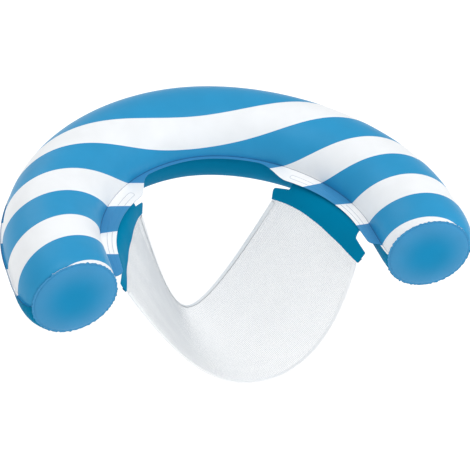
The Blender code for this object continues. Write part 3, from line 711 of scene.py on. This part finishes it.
# The plain teal films have next to no gloss, so their colour stays deep; the band's sags more than the
# tube's, and the ends have a faint shine.
PRINTED = vinyl("printed_vinyl", printed_colour)
TEAL = vinyl("calendered_teal_vinyl", plain("007CA6"), roughness=0.5, gloss=0.01, sheen=0.0)
BAND = vinyl("calendered_band_vinyl", plain("0082AC"), roughness=0.5, gloss=0.01, sheen=0.0, sag=0.0010)
END = vinyl("calendered_end_vinyl", end_colour, gloss=0.09, sheen=0.05)
YARN = yarn_finish()
BINDING = binding_finish()
MOULDED = clear_vinyl("moulded_vinyl", "E4EBF0", 0.35)
STOPPER = clear_vinyl("moulded_stopper_vinyl", "E9EFF4", 0.20)
WALL = clear_vinyl("calendered_clear_vinyl", "DDE6EC", 0.55)


# Air tube

def film_stations():
    """Signed distances of a film's rows, and how far each goes out on the end's turned rim, 0 to 1.

    Even steps up to the tab's taper, then steps that close up like sines towards its end and the tube's.
    """
    taper = OVAL_END + TAB_FRONT
    taper_end = taper + TAB_FRONT_TAPER
    half = np.concatenate([
        np.linspace(0.0, taper, LENGTH_ROWS, endpoint=False),
        taper + TAB_FRONT_TAPER * np.sin(np.linspace(0.0, math.pi / 2, TAPER_ROWS))[:-1],
        taper_end + (SEAM_END - taper_end) * np.sin(np.linspace(0.0, math.pi / 2, CLOSING_ROWS)),
    ])
    along = np.concatenate([half, [SEAM_END] * len(RIM_SHARES)])
    out = np.concatenate([0 * half, RIM_SHARES])
    return np.concatenate([-along[:0:-1], along]), np.concatenate([out[:0:-1], out])


def rim_crinkle(turn, side):
    """Crinkle of an end's welded rim: uneven sines of the angle round it, outwards and along the arm."""
    edge = 2 * math.pi * (END_RADIUS - LIP)
    position = turn / (2 * math.pi) * edge
    return [RIM_CRINKLE * waves(position, [edge / k for k in counts], seed)
            for counts, seed in zip((RIM_CRINKLES_OUT, RIM_CRINKLES_ALONG), RIM_SEEDS[side])]


def film_puckers(along, radius, across, turn, face):
    """Height of the puckers over the smooth film, by the distance across it from the inner seam.

    Uneven sines run beside the inner seam, the outer seam and the end's weld, each with its own fade.
    """
    lean = np.clip(across, 0.0, None)
    far = np.clip(math.pi * radius - across, 0.0, None)
    inner = SEAM_PUCKER * waves(along, SEAM_PUCKER_WAVES, SEAM_SEED + face)
    outer = OUTER_PUCKER * waves(along, OUTER_PUCKER_WAVES, OUTER_SEED + face)
    ends = END_PUCKER * waves(radius * turn, END_PUCKER_WAVES, END_SEED + face)
    clear = smooth_step(np.minimum(lean, far) / END_PUCKER_CLEAR)
    to_end = SEAM_END - np.abs(along)
    return (inner * beside_weld(lean, PUCKER_FADE) + outer * beside_weld(far, PUCKER_FADE)
            + ends * beside_weld(to_end, END_PUCKER_FADE) * clear)


def film(name, face, finish, node):
    """Half of the air tube. A row's section, with R the tube's radius and c its centre:

    out = c - R cos(turn), z = face (m + (R - m) sin(turn)), between a flat flange and a flat lip. Puckers
    stand on it beside the welds, and its rim crinkles with the end's.
    """
    along, rim = film_stations()
    if face < 0:
        rim = np.where(rim == 1.0, 1.0 + LOWER_LIP_SHOWS_SHARE, rim)
    along, rim = along[:, None], rim[:, None]
    a = np.abs(along)
    radius = tube_radius(a)
    shut = closing(a)
    centre = radius + LIP * shut
    wide = radius + LIP * rim
    inner = centre - radius - flange_width(a) * (1.0 - shut) - LIP * (shut + RIM_SPREAD_SHARE * rim)
    lip_end = centre + radius + LIP * (1.0 + RIM_SPREAD_SHARE * rim)
    flat = np.linspace(0.0, 1.0, FLAT_STEPS, endpoint=False)[None, :]
    turn = np.linspace(0.0, math.pi, ROUND_STEPS + 1)[None, :]
    out = np.concatenate([
        inner + (centre - wide - inner) * flat,
        centre - wide * np.cos(turn),
        centre + wide + (lip_end - centre - wide) * LIP_SHARES,
    ], axis=1)
    rise = np.concatenate([
        MID + 0 * flat * a, MID + (wide - MID) * np.sin(turn), MID + 0 * LIP_SHARES * a,
    ], axis=1)
    across = np.concatenate([
        (inner - centre + wide) * (1.0 - flat), radius * turn, math.pi * radius + LIP * LIP_SHARES,
    ], axis=1)
    turn = np.concatenate([0 * flat, turn, math.pi + 0 * LIP_SHARES], axis=1)
    turn = np.broadcast_to(turn, across.shape)

    points = place(along, out, face * rise)
    normals = grid_normals(points)
    towards = unit(points - place(along, centre, 0 * out))
    sign = np.sign(np.sum(normals * towards, axis=-1, keepdims=True))
    height = film_puckers(along, radius, across, turn, face)
    points = points + normals * sign * height[..., None]
    for side in (-1, 1):
        radial, axial = rim_crinkle(face * turn, side)
        share = np.where(along * side > 0, rim, 0.0)
        points = points + towards * (radial * share)[..., None]
        points[..., 1] -= axial * share

    x, y, normal_x, normal_y = seam(along)
    plan = np.stack([x + normal_x * across, y + normal_y * across - LIP * rim], axis=-1)
    lip = LIP_SHARES.size
    # The across value is set to 0 over the outer lip, so the whole lip gets the creases' painted shade.
    values = {
        "stripe": twice(stripe(plan, across)),
        "across": twice(np.concatenate([across[:, :-lip], 0 * across[:, -lip:]], axis=1)),
        "weld": twice(np.where(across < WELD_TINT_REACH, 1.0, 0.0)),
    }
    shape, faces = shell(points, FILM)
    return add_piece(name, shape, faces, finish, "seat", [node], twice(plan), values)


def stripe(plan, across):
    """Signed distance in y to the nearest stripe edge, positive where the film is white.

    The edges are cubics on the tube and lines on the tabs; white lies between the first and the second
    edge from the back, between the third and the fourth, and so on.
    """
    x, y = plan[..., 0], plan[..., 1]
    t = np.clip(np.abs(x) - SEAM_HALF_WIDTH, STRIPE_START, None)
    edges = [a + b * x + c * x * x + d * x ** 3 for a, b, c, d in BACK_EDGES]
    for k in range(len(LEFT_EDGES)):
        a, b, c, d = (np.where(x < 0, *pair) for pair in zip(LEFT_EDGES[k], RIGHT_EDGES[k]))
        start, slope = (np.where(x < 0, *pair) for pair in zip(LEFT_TABS[k], RIGHT_TABS[k]))
        edges.append(np.where(across < 0, start + slope * t, a + b * t + c * t * t + d * t ** 3))
    edges = np.stack(edges)
    crossed = np.sum(y < edges, axis=0)
    return np.min(np.abs(y - edges), axis=0) * np.where(crossed % 2 == 1, 1.0, -1.0)


def end_film(name, side, finish, node):
    """Round end: y = -b sqrt(1 - (r/r0)^2) inside the welded rim, with radial puckers."""
    turn = np.linspace(0.0, 2 * math.pi, DISC_STEPS, endpoint=False)[None, :]
    flat = END_RADIUS - LIP
    inner = flat * np.cos(np.linspace(0.0, math.pi / 2, CLOSING_ROWS)[:-1])
    r = np.concatenate([flat + LIP * RIM_SHARES[::-1], inner])[:, None]
    rim = np.clip((r - flat) / LIP, 0.0, 1.0)
    radial, axial = rim_crinkle(turn, side)
    share = np.clip(r / flat, 0.0, 1.0)
    pucker = waves(flat * turn, [flat * 2 * math.pi / k for k in DISC_PUCKERS_ROUND], DISC_SEED + side)
    pucker = DISC_PUCKER * pucker * beside_weld(np.clip(flat - r, 0.0, None), DISC_PUCKER_FADE)
    bulge = DISC_BULGE * np.sqrt(1.0 - share * share) + pucker
    reach = r + radial * rim
    points = place(np.full_like(r, side * SEAM_END), END_RADIUS - reach * np.cos(turn), reach * np.sin(turn))
    points[..., 1] -= FILM_PITCH + bulge + axial * rim
    shape, faces = shell(points, FILM, wrap=True)
    # rim: share towards the edge, where end_colour pales the blue in a painted reflection of the white
    # surroundings.
    values = {"rim": twice(np.broadcast_to(smooth_step(share) ** 2, points.shape[:2]))}
    plan = np.stack([r * np.cos(turn), r * np.sin(turn)], axis=-1)
    return add_piece(name, shape, faces, finish, "seat", [node], twice(plan), values)


def weld_loop(name, side, finish):
    """Line of the tab's weld: a half-round section along two long sides and two half-circle ends."""
    start, stop = TAB_CORNER + WELD_END_MARGIN, OVAL_END + TAB_FRONT - WELD_END_MARGIN
    run = np.linspace(start, stop, WELD_ROWS)
    turn = np.linspace(0.0, math.pi, WELD_END_STEPS)[1:-1]
    ends = [WELD_WIDTH_SHARE / 2 * flange_width(at) * np.sin(turn) for at in (start, stop)]
    along = np.concatenate([run, stop + ends[1], run[::-1], start - ends[0]])
    width = flange_width(along.clip(start, stop))
    across = np.concatenate([1 + 0 * run, np.cos(turn), 0 * run - 1, -np.cos(turn)])
    out = (across * WELD_WIDTH_SHARE / 2 - WELD_MIDDLE_SHARE) * width
    path = place(side * along, out, MID + FILM / 2 - WELD_SINK)
    arc = np.linspace(0.0, math.pi, WELD_SECTION_STEPS)
    section = np.stack([WELD_BEAD / 2 * np.cos(arc), (WELD_HEIGHT + WELD_SINK) * np.sin(arc)], axis=-1)
    points, faces = sweep(path, np.tile([0.0, 0.0, 1.0], (len(path), 1)), section, closed=True)
    white = stripe(np.repeat(path[:, :2], len(section), axis=0), -1.0)
    # Painted shade: on white the weld line counts as near a crease and gets a faint grey line; on blue it
    # gets none.
    across = np.where(white > 0, WELD_SHADE_DISTANCE, NO_SHADE_DISTANCE)
    values = {"stripe": white, "across": across, "weld": 0 * white + 1.0}
    return add_piece(name, points, faces, finish, "seat", uv=points[:, :2], values=values)


# Seat bands and net

def band_ripple(share, from_low):
    """Slow waves of the hanging band, and the fine crinkle of its lower weld.

    Uneven sines along the band: the slow ones grow by a soft step towards the lower edge, and the fine
    ones stand in a bell e^(-((h - h0) / w)^2) of the height h over it.
    """
    position = share * BAND_SPAN
    hanging = smooth_step((BAND_WAVE_TOP - from_low) / BAND_WAVE_RUN)
    bell = np.exp(-((from_low - BAND_CRINKLE_HEIGHT) / BAND_CRINKLE_REACH) ** 2)
    slow = BAND_WAVE * waves(position, BAND_WAVES, BAND_SEED) * hanging
    fine = BAND_CRINKLE * waves(position, BAND_CRINKLES, BAND_CRINKLE_SEED) * bell
    return slow + fine


def cubic(t, a, b, c, d):
    """Cubic curve from a to d, steered by b and c."""
    return (1 - t) ** 3 * a + 3 * t * (1 - t) ** 2 * b + 3 * t * t * (1 - t) * c + t ** 3 * d


def band_section(share):
    """The four points (out, z) that steer the band's section, from its weld to its lower edge.

    The lower edge bows inwards by a sine along the band and arches up by a sine squared, and the nose
    flares by a square towards the front.
    """
    run = share * BAND_SPAN
    flare = np.clip(1.0 - (BAND_SPAN - run) / NOSE_FLARE_RUN, 0.0, None) ** 2
    fall_out = TAIL_FALL_OUT + (BAND_FALL_OUT - TAIL_FALL_OUT) * smooth_step(run / TAIL_FALL_RUN)
    arch = BAND_ARCH * np.sin(math.pi * share ** BAND_ARCH_SHARE) ** 2
    low_out = BAND_BACK_IN + (BAND_IN - BAND_BACK_IN) * share + BAND_BOW * np.sin(math.pi * share)
    low_drop = BAND_DROP + BAND_BACK_DROP * (1.0 - share) ** 3 - arch
    low = np.stack([-low_out, -low_drop], axis=-1)
    weld = np.broadcast_to([-BAND_WELD, -MID - FILM_PITCH], low.shape)
    near = weld - np.stack([BAND_REACH * (1.0 - flare), 0 * flare], axis=-1)
    above = low + np.stack([fall_out + NOSE_FLARE * flare, BAND_FALL + 0 * flare], axis=-1)
    return weld, near, above, low


def band_runs(share):
    """Distances from the weld along the section, at even steps of the cubic."""
    t = shares(SECTION_STEPS)[None, :, None]
    line = cubic(t, *(point[:, None] for point in band_section(share)))
    return np.cumsum(np.linalg.norm(np.diff(line, axis=1, prepend=line[:, :1]), axis=-1), axis=1)


def band_place(side, share, from_low, behind=0.0):
    """Points of a band: rows by share of its length, columns by distance up from its lower edge.

    A point of the section's cubic, moved along the section's normal by behind and by the ripple.
    """
    run = band_runs(share)
    from_low = np.broadcast_to(from_low, (len(share), np.shape(from_low)[-1]))
    steps = shares(run.shape[1])
    t = np.stack([np.interp(r[-1] - low, r, steps) for r, low in zip(run, from_low)])[..., None]
    a, b, c, d = (point[:, None] for point in band_section(share))
    down = unit((1 - t) ** 2 * (b - a) + 2 * t * (1 - t) * (c - b) + t * t * (d - c))
    shift = behind + band_ripple(share[:, None], from_low)
    where = cubic(t, a, b, c, d) + np.stack([-down[..., 1], down[..., 0]], axis=-1) * shift[..., None]
    return place(side * (BAND_START + share[:, None] * BAND_SPAN), where[..., 0], where[..., 1])


def band_top(share):
    """Height of the top edge over the lower one, cut down at the tail and the nose."""
    run = share * BAND_SPAN
    to_front = BAND_SPAN - run
    full = band_runs(share)[:, -1]
    tail = TAIL_TOP + (TAIL_ROOT - TAIL_TOP) * run / TAIL
    tail = tail - (TAIL_TOP - TAIL_CORNER_TOP) * quarter_ellipse(1.0 - run / TAIL_CORNER)
    nose = NOSE_TOP + (NOSE_ROOT - NOSE_TOP) * to_front / NOSE
    cut = (full - tail) * (1.0 - smooth_step((run - TAIL) / TAIL_RUN))
    cut = cut + (full - nose) * (1.0 - smooth_step((to_front - NOSE) / NOSE_RUN))
    return full - cut


def band_piece(name, side, share, from_low, behind, finish, node):
    """Film along a band between heights over its lower edge, laid flat by its length and height."""
    points = band_place(side, share, from_low, behind)
    plan = np.stack([np.broadcast_to(share[:, None] * BAND_SPAN, from_low.shape), from_low], axis=-1)
    shape, faces = shell(points, FILM)
    return add_piece(name, shape, faces, finish, "seat", [node], twice(plan))


def seat_band(name, side, finish, node):
    """The band, welded under the tab between its tail and its nose; even steps from top to bottom."""
    share = shares(BAND_ROWS)
    top = band_top(share)
    low = BAND_EDGE + BAND_EDGE_WAVE * waves(share * BAND_SPAN, BAND_EDGE_WAVES, BAND_EDGE_SEED).clip(0.0)
    from_low = top[:, None] + (low - top)[:, None] * shares(BAND_COLUMNS)[None, :]
    return band_piece(name, side, share, from_low, 0.0, finish, node)


def net_strip(name, side, finish, node):
    """The strip behind the band, which holds the net's margin: a band of even height."""
    heights = np.linspace(STRIP_WIDTH, BAND_EDGE, STRIP_COLUMNS)
    from_low = np.broadcast_to(heights, (STRIP_ROWS, STRIP_COLUMNS))
    return band_piece(name, side, shares(STRIP_ROWS), from_low, STRIP_BEHIND, finish, node)


def net_edge(t, end, lowest, handle):
    """Edge of the net from its lowest point to the band, a cubic curve."""
    y, drop, level = lowest
    low = np.array([0.0, y, -drop])
    near = low + np.array([level, 0.0, 0.0])
    hung = end - np.array(handle)
    return cubic(t[:, None], low, near, hung, end)


def net_surface(rows, columns):
    """Points of the net at shares along it (front to back) and shares across its own width.

    The surface is ruled between the two edge curves, pulled to the bands by across^4, with a belly
    sin(pi v) (1 - u^2), and its columns are spaced evenly by the distance along each row.
    """
    inset = NET_INSET / BAND_SPAN
    share = (1.0 - inset) + rows * (2 * inset - 1.0)
    heights = np.linspace(0.0, NET_MARGIN, NET_MARGIN_COLUMNS)[None, :]
    margin = band_place(1, share, heights, NET_BEHIND)
    hang = margin[:, 0]
    ends = band_place(1, np.array([1.0 - inset, inset]), np.zeros((1, 1)), NET_BEHIND)[:, 0]
    t = shares(NET_EDGE_STEPS)
    front = net_edge(t, ends[0], NET_FRONT, NET_FRONT_HANDLE)
    back = net_edge(t, ends[1], NET_BACK, NET_BACK_HANDLE)
    v = rows[:, None, None]
    straight = (1 - v) * ends[0] + v * ends[1]
    half = (1 - v) * front + v * back + (t ** NET_PULL)[None, :, None] * (hang[:, None] - straight)
    half[..., 2] -= NET_BELLY * np.sin(math.pi * rows)[:, None] * (1 - t * t)[None, :]
    half = np.concatenate([half, margin[:, 1:]], axis=1)
    grid = np.concatenate([half[:, :0:-1] * [-1.0, 1.0, 1.0], half], axis=1)
    run = np.cumsum(np.linalg.norm(np.diff(grid, axis=1, prepend=grid[:, :1]), axis=-1), axis=1)
    width = run[:, -1]
    picked = np.stack([[np.interp(columns * w, r, p[:, k]) for w, r, p in zip(width, run, grid)]
                       for k in range(3)], axis=-1)
    to_band = np.minimum(columns[None, :], 1.0 - columns[None, :]) * width[:, None] - NET_MARGIN
    return picked, to_band, width


def net_folds(rows, to_band):
    """Height of the soft fold that runs down from each band's tail.

    A bell e^(-((v - v0) / w)^2) across it; away from the band it rises by a soft step and then fades.
    """
    across = np.exp(-((rows - FOLD_PLACE) / FOLD_SHARE) ** 2)[:, None]
    reach = smooth_step(to_band / FOLD_START) * np.exp(-np.clip(to_band, 0.0, None) / FOLD_FADE)
    return FOLD_DEPTH * across * reach


def net_points(rows, columns):
    """Points of the net with its folds, which stand on its normals, those normals and its width."""
    points, to_band, width = net_surface(rows, columns)
    normals = grid_normals(points)
    return points + normals * net_folds(rows, to_band)[..., None], normals, width


def threads(paths, normals, shift):
    """Thin diamond tubes, one for each path: p + s a + n b."""
    tangent = unit(np.gradient(paths, axis=1))
    aside = unit(np.cross(tangent, normals))
    wide, tall = THREAD_HALF
    section = np.array([[wide, 0.0], [0.0, tall], [-wide, 0.0], [0.0, -tall]])
    points = (paths + normals * shift)[:, :, None] + aside[:, :, None] * section[:, :1]
    points = points + normals[:, :, None] * section[:, 1:]
    count, steps, ring = points.shape[:3]
    one = np.array(tube_faces(steps, ring))
    quads = (one[None] + (np.arange(count) * steps * ring)[:, None, None]).reshape(-1, ring)
    return points.reshape(-1, 3), quads


def seat_net(finish, node):
    """The net: two families of threads, front to back and band to band, with its flat size and area.

    The size is the mean length of its rows and columns, and the area the sum of |a x b| over its cells.
    """
    points, _, width = net_points(shares(NET_ROWS), shares(NET_COLUMNS))
    depth = np.linalg.norm(np.diff(points, axis=0), axis=-1).sum(axis=0)
    width, depth = float(width.mean()), float(depth.mean())
    wales, courses = int(round(width / NET_PITCH)), int(round(depth / NET_PITCH))
    down, down_normals, _ = net_points(shares(int(depth / THREAD_STEP)), shares(wales))
    over, over_normals, _ = net_points(shares(courses), shares(int(width / THREAD_STEP)))
    a, quads_a = threads(down.transpose(1, 0, 2), down_normals.transpose(1, 0, 2), THREAD_CROSSING)
    b, quads_b = threads(over, over_normals, -THREAD_CROSSING)
    faces = np.concatenate([quads_a, quads_b + len(a)]).tolist()
    net = add_piece("net_threads", np.concatenate([a, b]), faces, finish, "seat", [node])
    back, across = points[1:, :-1] - points[:-1, :-1], points[:-1, 1:] - points[:-1, :-1]
    return net, (width, depth), float(np.linalg.norm(np.cross(back, across), axis=-1).sum())


def net_hem(name, row, step, finish, node):
    """Binding folded over an edge of the net: a U-shaped section with a round fold, swept along it.

    The section opens towards the next row of the net, a step away, and its open ends wave a little.
    """
    columns = shares(HEM_COLUMNS)
    grid, _, width = net_points(np.array([row, row + step]), columns)
    clear = int(np.ceil(NET_MARGIN / width[0] * (HEM_COLUMNS - 1))) + 1
    keep = slice(clear, -clear)
    path = grid[0, keep]
    run = unit(np.gradient(path, axis=0))
    up = unit(np.cross(run, unit(grid[1, keep] - path)))
    along = columns[keep] * width[0]
    slot_half = NET_THICKNESS / 2 + NET_EASE + GAP
    outer = slot_half + HEM_WALL
    fold = np.linspace(math.pi / 2, 3 * math.pi / 2, HEM_FOLD_STEPS)
    outside = np.stack([outer * np.cos(fold) - GAP, outer * np.sin(fold)], axis=-1)
    inside = np.stack([slot_half * np.cos(fold) * HEM_INSIDE_SHARE - GAP, slot_half * np.sin(fold)], axis=-1)
    section = np.concatenate([[(0.0, outer)], outside, [(0.0, -outer), (0.0, -slot_half)], inside[::-1],
                              [(0.0, slot_half)]])
    section = np.tile(section, (len(path), 1, 1))
    open_ends = [0, HEM_FOLD_STEPS + 1, HEM_FOLD_STEPS + 2, -1]
    section[:, open_ends, 0] = (HEM_WIDTH + HEM_WAVE * waves(along, HEM_WAVES, HEM_SEED))[:, None]
    points, faces = sweep(path, up, section * [-1.0, 1.0])
    plan = np.stack([np.broadcast_to(along[:, None], section.shape[:2]), section[..., 0]], axis=-1)
    return add_piece(name, points, faces, finish, "seat", [node], plan.reshape(-1, 2))


# Valves

def valve_frame(side):
    """Frame on the outside of the lower film: +Z out of the chamber, +X along the tube.

    It sits on the round section at the valve's angle, and +Z points away from the section's centre.
    """
    radius = tube_radius(VALVE_SEAM_DISTANCE)
    along = np.array(side * VALVE_SEAM_DISTANCE)
    out = radius - radius * math.cos(VALVE_TURN)
    centre = Vector(place(along, out, radius * math.sin(VALVE_TURN)))
    middle = Vector(place(along, radius, 0.0))
    normal = (centre - middle).normalized()
    forward = Vector((0.0, 0.0, 1.0)).cross(normal).normalized()
    turned = Matrix((forward, normal.cross(forward), normal)).transposed().to_4x4()
    turned.translation = centre
    return turned


def moved(points, where):
    """World points of points in a valve's frame: its axes times the points, plus its place."""
    axes = np.array(where)
    return points @ axes[:3, :3].T + axes[:3, 3]


def rounded(section, radius):
    """A closed section with each corner p cut to a short curve, (1-t)^2 a + 2t(1-t) p + t^2 b.

    a and b lie on the two sides that meet in p, that radius away from it.
    """
    section = np.asarray(section, dtype=float)
    before = unit(np.roll(section, 1, axis=0) - section)
    after = unit(np.roll(section, -1, axis=0) - section)
    t = shares(CORNER_STEPS)[None, :, None]
    a = section[:, None] + before[:, None] * radius
    b = section[:, None] + after[:, None] * radius
    corner = (1 - t) ** 2 * a + 2 * t * (1 - t) * section[:, None] + t * t * b
    return corner.reshape(-1, 2)


def turned_piece(name, section, where, finish, node):
    """A closed section of (radius, z) turned about the valve's axis, on the body with the node's name."""
    turn = np.linspace(0.0, 2 * math.pi, TURNED_STEPS, endpoint=False)
    r, z = section[:, 0][:, None], section[:, 1][:, None]
    local = np.stack([r * np.cos(turn), r * np.sin(turn), z + 0 * turn], axis=-1)
    points = moved(local.reshape(-1, 3), where)
    return add_piece(name, points, loop_faces(*local.shape[:2]), finish, node, [node])


def neck(word, where, rim_top):
    """The neck, a flat rim on a pipe: an L-shaped section turned about the bore."""
    low = rim_top - VALVE_RIM_THICKNESS
    end = rim_top - VALVE_STEM_LENGTH
    section = rounded([
        (VALVE_BORE, rim_top), (VALVE_RIM, rim_top), (VALVE_RIM, low),
        (VALVE_STEM, low), (VALVE_STEM, end), (VALVE_BORE, end),
    ], VALVE_CORNER)
    turned_piece(f"neck_{word}", section, where, MOULDED, f"valve_stem_{word}")


def stopper(word, where, low):
    """Plug: a tapered tip, a shank with a groove between two sealing lands, and a cap with a ridge.

    Its section stays a hair off the axis, so that it closes.
    """
    shank = VALVE_BORE - GAP
    tip = low - PLUG_LENGTH
    high = low + PLUG_CAP_THICKNESS
    groove = [(shank - PLUG_GROOVE, tip + rise) for rise in PLUG_GROOVE_FLOOR]
    section = rounded([
        (PLUG_AXIS, tip), (shank * PLUG_TIP_SHARE, tip), (shank, tip + PLUG_TAPER),
        (shank, tip + PLUG_LAND_TOP), *groove, (shank, tip + PLUG_GROOVE_TOP), (shank, low),
        (PLUG_CAP, low), (PLUG_CAP, high - PLUG_CAP_CHAMFER), (PLUG_CAP - PLUG_RIDGE, high),
        (PLUG_CAP / 2, high), (PLUG_CAP / 2 - PLUG_RIDGE, high + PLUG_RIDGE),
        (PLUG_AXIS, high + PLUG_RIDGE),
    ], PLUG_CORNER)
    turned_piece(f"stopper_{word}", section, where, STOPPER, f"valve_plug_{word}")


def strap(word, where, rim_top):
    """Strap from the neck's rim to the plug's cap: out, round a half circle and back."""
    low = rim_top + GAP + TETHER_THICKNESS / 2
    high = low + PLUG_CAP_THICKNESS
    bend = (high - low) / 2
    start = PLUG_CAP + 2 * GAP
    middle = VALVE_HOLE - TETHER_THICKNESS - GAP - bend
    turn = np.linspace(-math.pi / 2, math.pi / 2, STRAP_BEND_STEPS)
    way_out = np.linspace(start, middle, STRAP_STEPS)[:-1]
    x = np.concatenate([way_out, middle + bend * np.cos(turn), way_out[::-1]])
    z = np.concatenate([low + 0 * way_out, low + bend + bend * np.sin(turn), high + 0 * way_out])
    local = np.stack([x, 0 * x, z], axis=-1)
    run = np.gradient(local, axis=0)
    up = unit(np.stack([-run[:, 2], 0 * x, run[:, 0]], axis=-1)) @ np.array(where)[:3, :3].T
    wide, thick = TETHER_WIDTH / 2, TETHER_THICKNESS / 2
    section = rounded([(wide, thick), (-wide, thick), (-wide, -thick), (wide, -thick)], TETHER_CORNER)
    points, faces = sweep(moved(local, where), up, section)
    item = add_piece(f"strap_{word}", points, faces, STOPPER, None, [f"plug_tether_{word}"])
    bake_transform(item)


def cut_hole(target, where):
    """Cuts the valve's round hole through the lower film: a circle carried along the valve's axis."""
    turn = np.linspace(0.0, 2 * math.pi, HOLE_STEPS, endpoint=False)
    rings = [np.stack([VALVE_HOLE * np.cos(turn), VALVE_HOLE * np.sin(turn), z + 0 * turn], axis=-1)
             for z in (-VALVE_HOLE_REACH, VALVE_HOLE_REACH)]
    mesh = bpy.data.meshes.new("valve_hole")
    mesh.from_pydata(moved(np.concatenate(rings), where).tolist(), [], tube_faces(2, HOLE_STEPS))
    cutter = bpy.data.objects.new("valve_hole", mesh)
    bpy.context.scene.collection.objects.link(cutter)
    step = target.modifiers.new("hole", "BOOLEAN")
    step.operation, step.solver, step.object = "DIFFERENCE", "EXACT", cutter
    with bpy.context.temp_override(object=target, active_object=target):
        bpy.ops.object.modifier_apply(modifier="hole")
    bpy.data.objects.remove(cutter, do_unlink=True)


def valve(side, word, lower):
    """A valve's neck, plug and strap at the height of the solid neck's rim, and the hole round them."""
    where = valve_frame(side)
    inverse = where.inverted()
    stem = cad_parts[f"valve_stem_{word}"]
    rim_top = max((inverse @ v.co).z for v in stem.data.vertices)
    neck(word, where, rim_top)
    stopper(word, where, rim_top + GAP)
    strap(word, where, rim_top)
    cut_hole(lower, where)


# Studio

def camera():
    """The photograph's view: fitted distance, direction, roll and a small shift."""
    level = math.cos(VIEW_ELEVATION)
    back = Vector((math.sin(VIEW_AZIMUTH) * level, -math.cos(VIEW_AZIMUTH) * level,
                   math.sin(VIEW_ELEVATION)))
    right = Vector((math.cos(VIEW_AZIMUTH), math.sin(VIEW_AZIMUTH), 0.0))
    up = back.cross(right)
    x = right * math.cos(VIEW_ROLL) + up * math.sin(VIEW_ROLL)
    y = up * math.cos(VIEW_ROLL) - right * math.sin(VIEW_ROLL)
    data = bpy.data.cameras.new("camera")
    data.sensor_width = SENSOR_WIDTH
    data.lens = FOCAL_PIXELS / FRAME_PIXELS * data.sensor_width
    data.shift_x, data.shift_y = VIEW_SHIFT
    item = bpy.data.objects.new("camera", data)
    item.matrix_world = Matrix((x, y, back)).transposed().to_4x4()
    item.location = back * VIEW_DISTANCE
    bpy.context.scene.collection.objects.link(item)
    bpy.context.scene.camera = item


def lamp(name, location, size, power):
    """A square lamp of that size and power, which faces the origin."""
    data = bpy.data.lights.new(name, "AREA")
    data.size = size
    data.energy = power
    item = bpy.data.objects.new(name, data)
    item.location = location
    item.rotation_euler = (-Vector(location)).to_track_quat("-Z", "Y").to_euler()
    bpy.context.scene.collection.objects.link(item)


def studio():
    """White surroundings, three broad soft lamps and a pale floor of matt paper.

    The paper glows by itself: the eye gets the empty white ground of a studio, nearly without a shadow,
    and sees it through the open net. Its pulp gives a mottle too faint to see from here.
    """
    world = bpy.data.worlds.new("studio")
    world.use_nodes = True
    world.node_tree.nodes["Background"].inputs["Color"].default_value = WHITE
    world.node_tree.nodes["Background"].inputs["Strength"].default_value = SURROUND_STRENGTH
    bpy.context.scene.world = world
    lamp("key", location=(-0.7, -0.6, 3.0), size=2.0, power=32.0)
    lamp("fill", location=(2.0, -1.3, 2.3), size=2.0, power=43.0)
    lamp("back", location=(-1.2, 2.4, 1.6), size=1.8, power=17.0)
    finish, tree = start_material("matt_paper", Roughness=0.9, Emission_Strength=FLOOR_GLOW,
                                  Emission_Color=WHITE)
    where = add(tree, "ShaderNodeTexCoord", "Object")
    pulp = add(tree, "ShaderNodeTexNoise", "Fac", {"Vector": where, "Scale": 1.0 / PULP_SIZE})
    lay_on(tree, add(tree, "ShaderNodeMix", MIXED,
                     {SHARE: pulp, FIRST: linear("8E8E8E"), SECOND: linear("929292")}, **BLEND))
    half, level = FLOOR_HALF, CAD_BOX[0][2] - FLOOR_BELOW
    mesh = bpy.data.meshes.new("floor")
    mesh.from_pydata([(-half, -half, level), (half, -half, level), (half, half, level), (-half, half, level)],
                     [], [(0, 1, 2, 3)])
    mesh.materials.append(finish)
    item = bpy.data.objects.new("floor", mesh)
    bpy.context.scene.collection.objects.link(item)
    bpy.context.scene.view_settings.view_transform = "Standard"


def dress():
    """All pieces in order: the tube, what belongs to each arm, the net and its hems."""
    film("printed_film", 1, PRINTED, "top_panel")
    lower = film("lower_film", -1, TEAL, "bottom_panel")
    for side, word in ((-1, "left"), (1, "right")):
        end_film(f"end_film_{word}", side, END, f"end_disc_{word}")
        weld_loop(f"weld_line_{word}", side, PRINTED)
        seat_band(f"band_film_{word}", side, BAND, f"seat_band_{word}")
        net_strip(f"band_strip_{word}", side, BAND, f"net_strip_{word}")
        valve(side, word, lower)
        for node in (f"valve_base_{word}", f"valve_flap_{word}"):
            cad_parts[node].material_slots[0].material = MOULDED
    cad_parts["chamber_bulkhead"].material_slots[0].material = WALL
    net, flat, area = seat_net(YARN, "seat_net")
    hems = [
        net_hem("hem_front", 0.0, HEM_ROW_SHARE, BINDING, "net_hem_front"),
        net_hem("hem_back", 1.0, -HEM_ROW_SHARE, BINDING, "net_hem_back"),
    ]


dress()
camera()
studio()
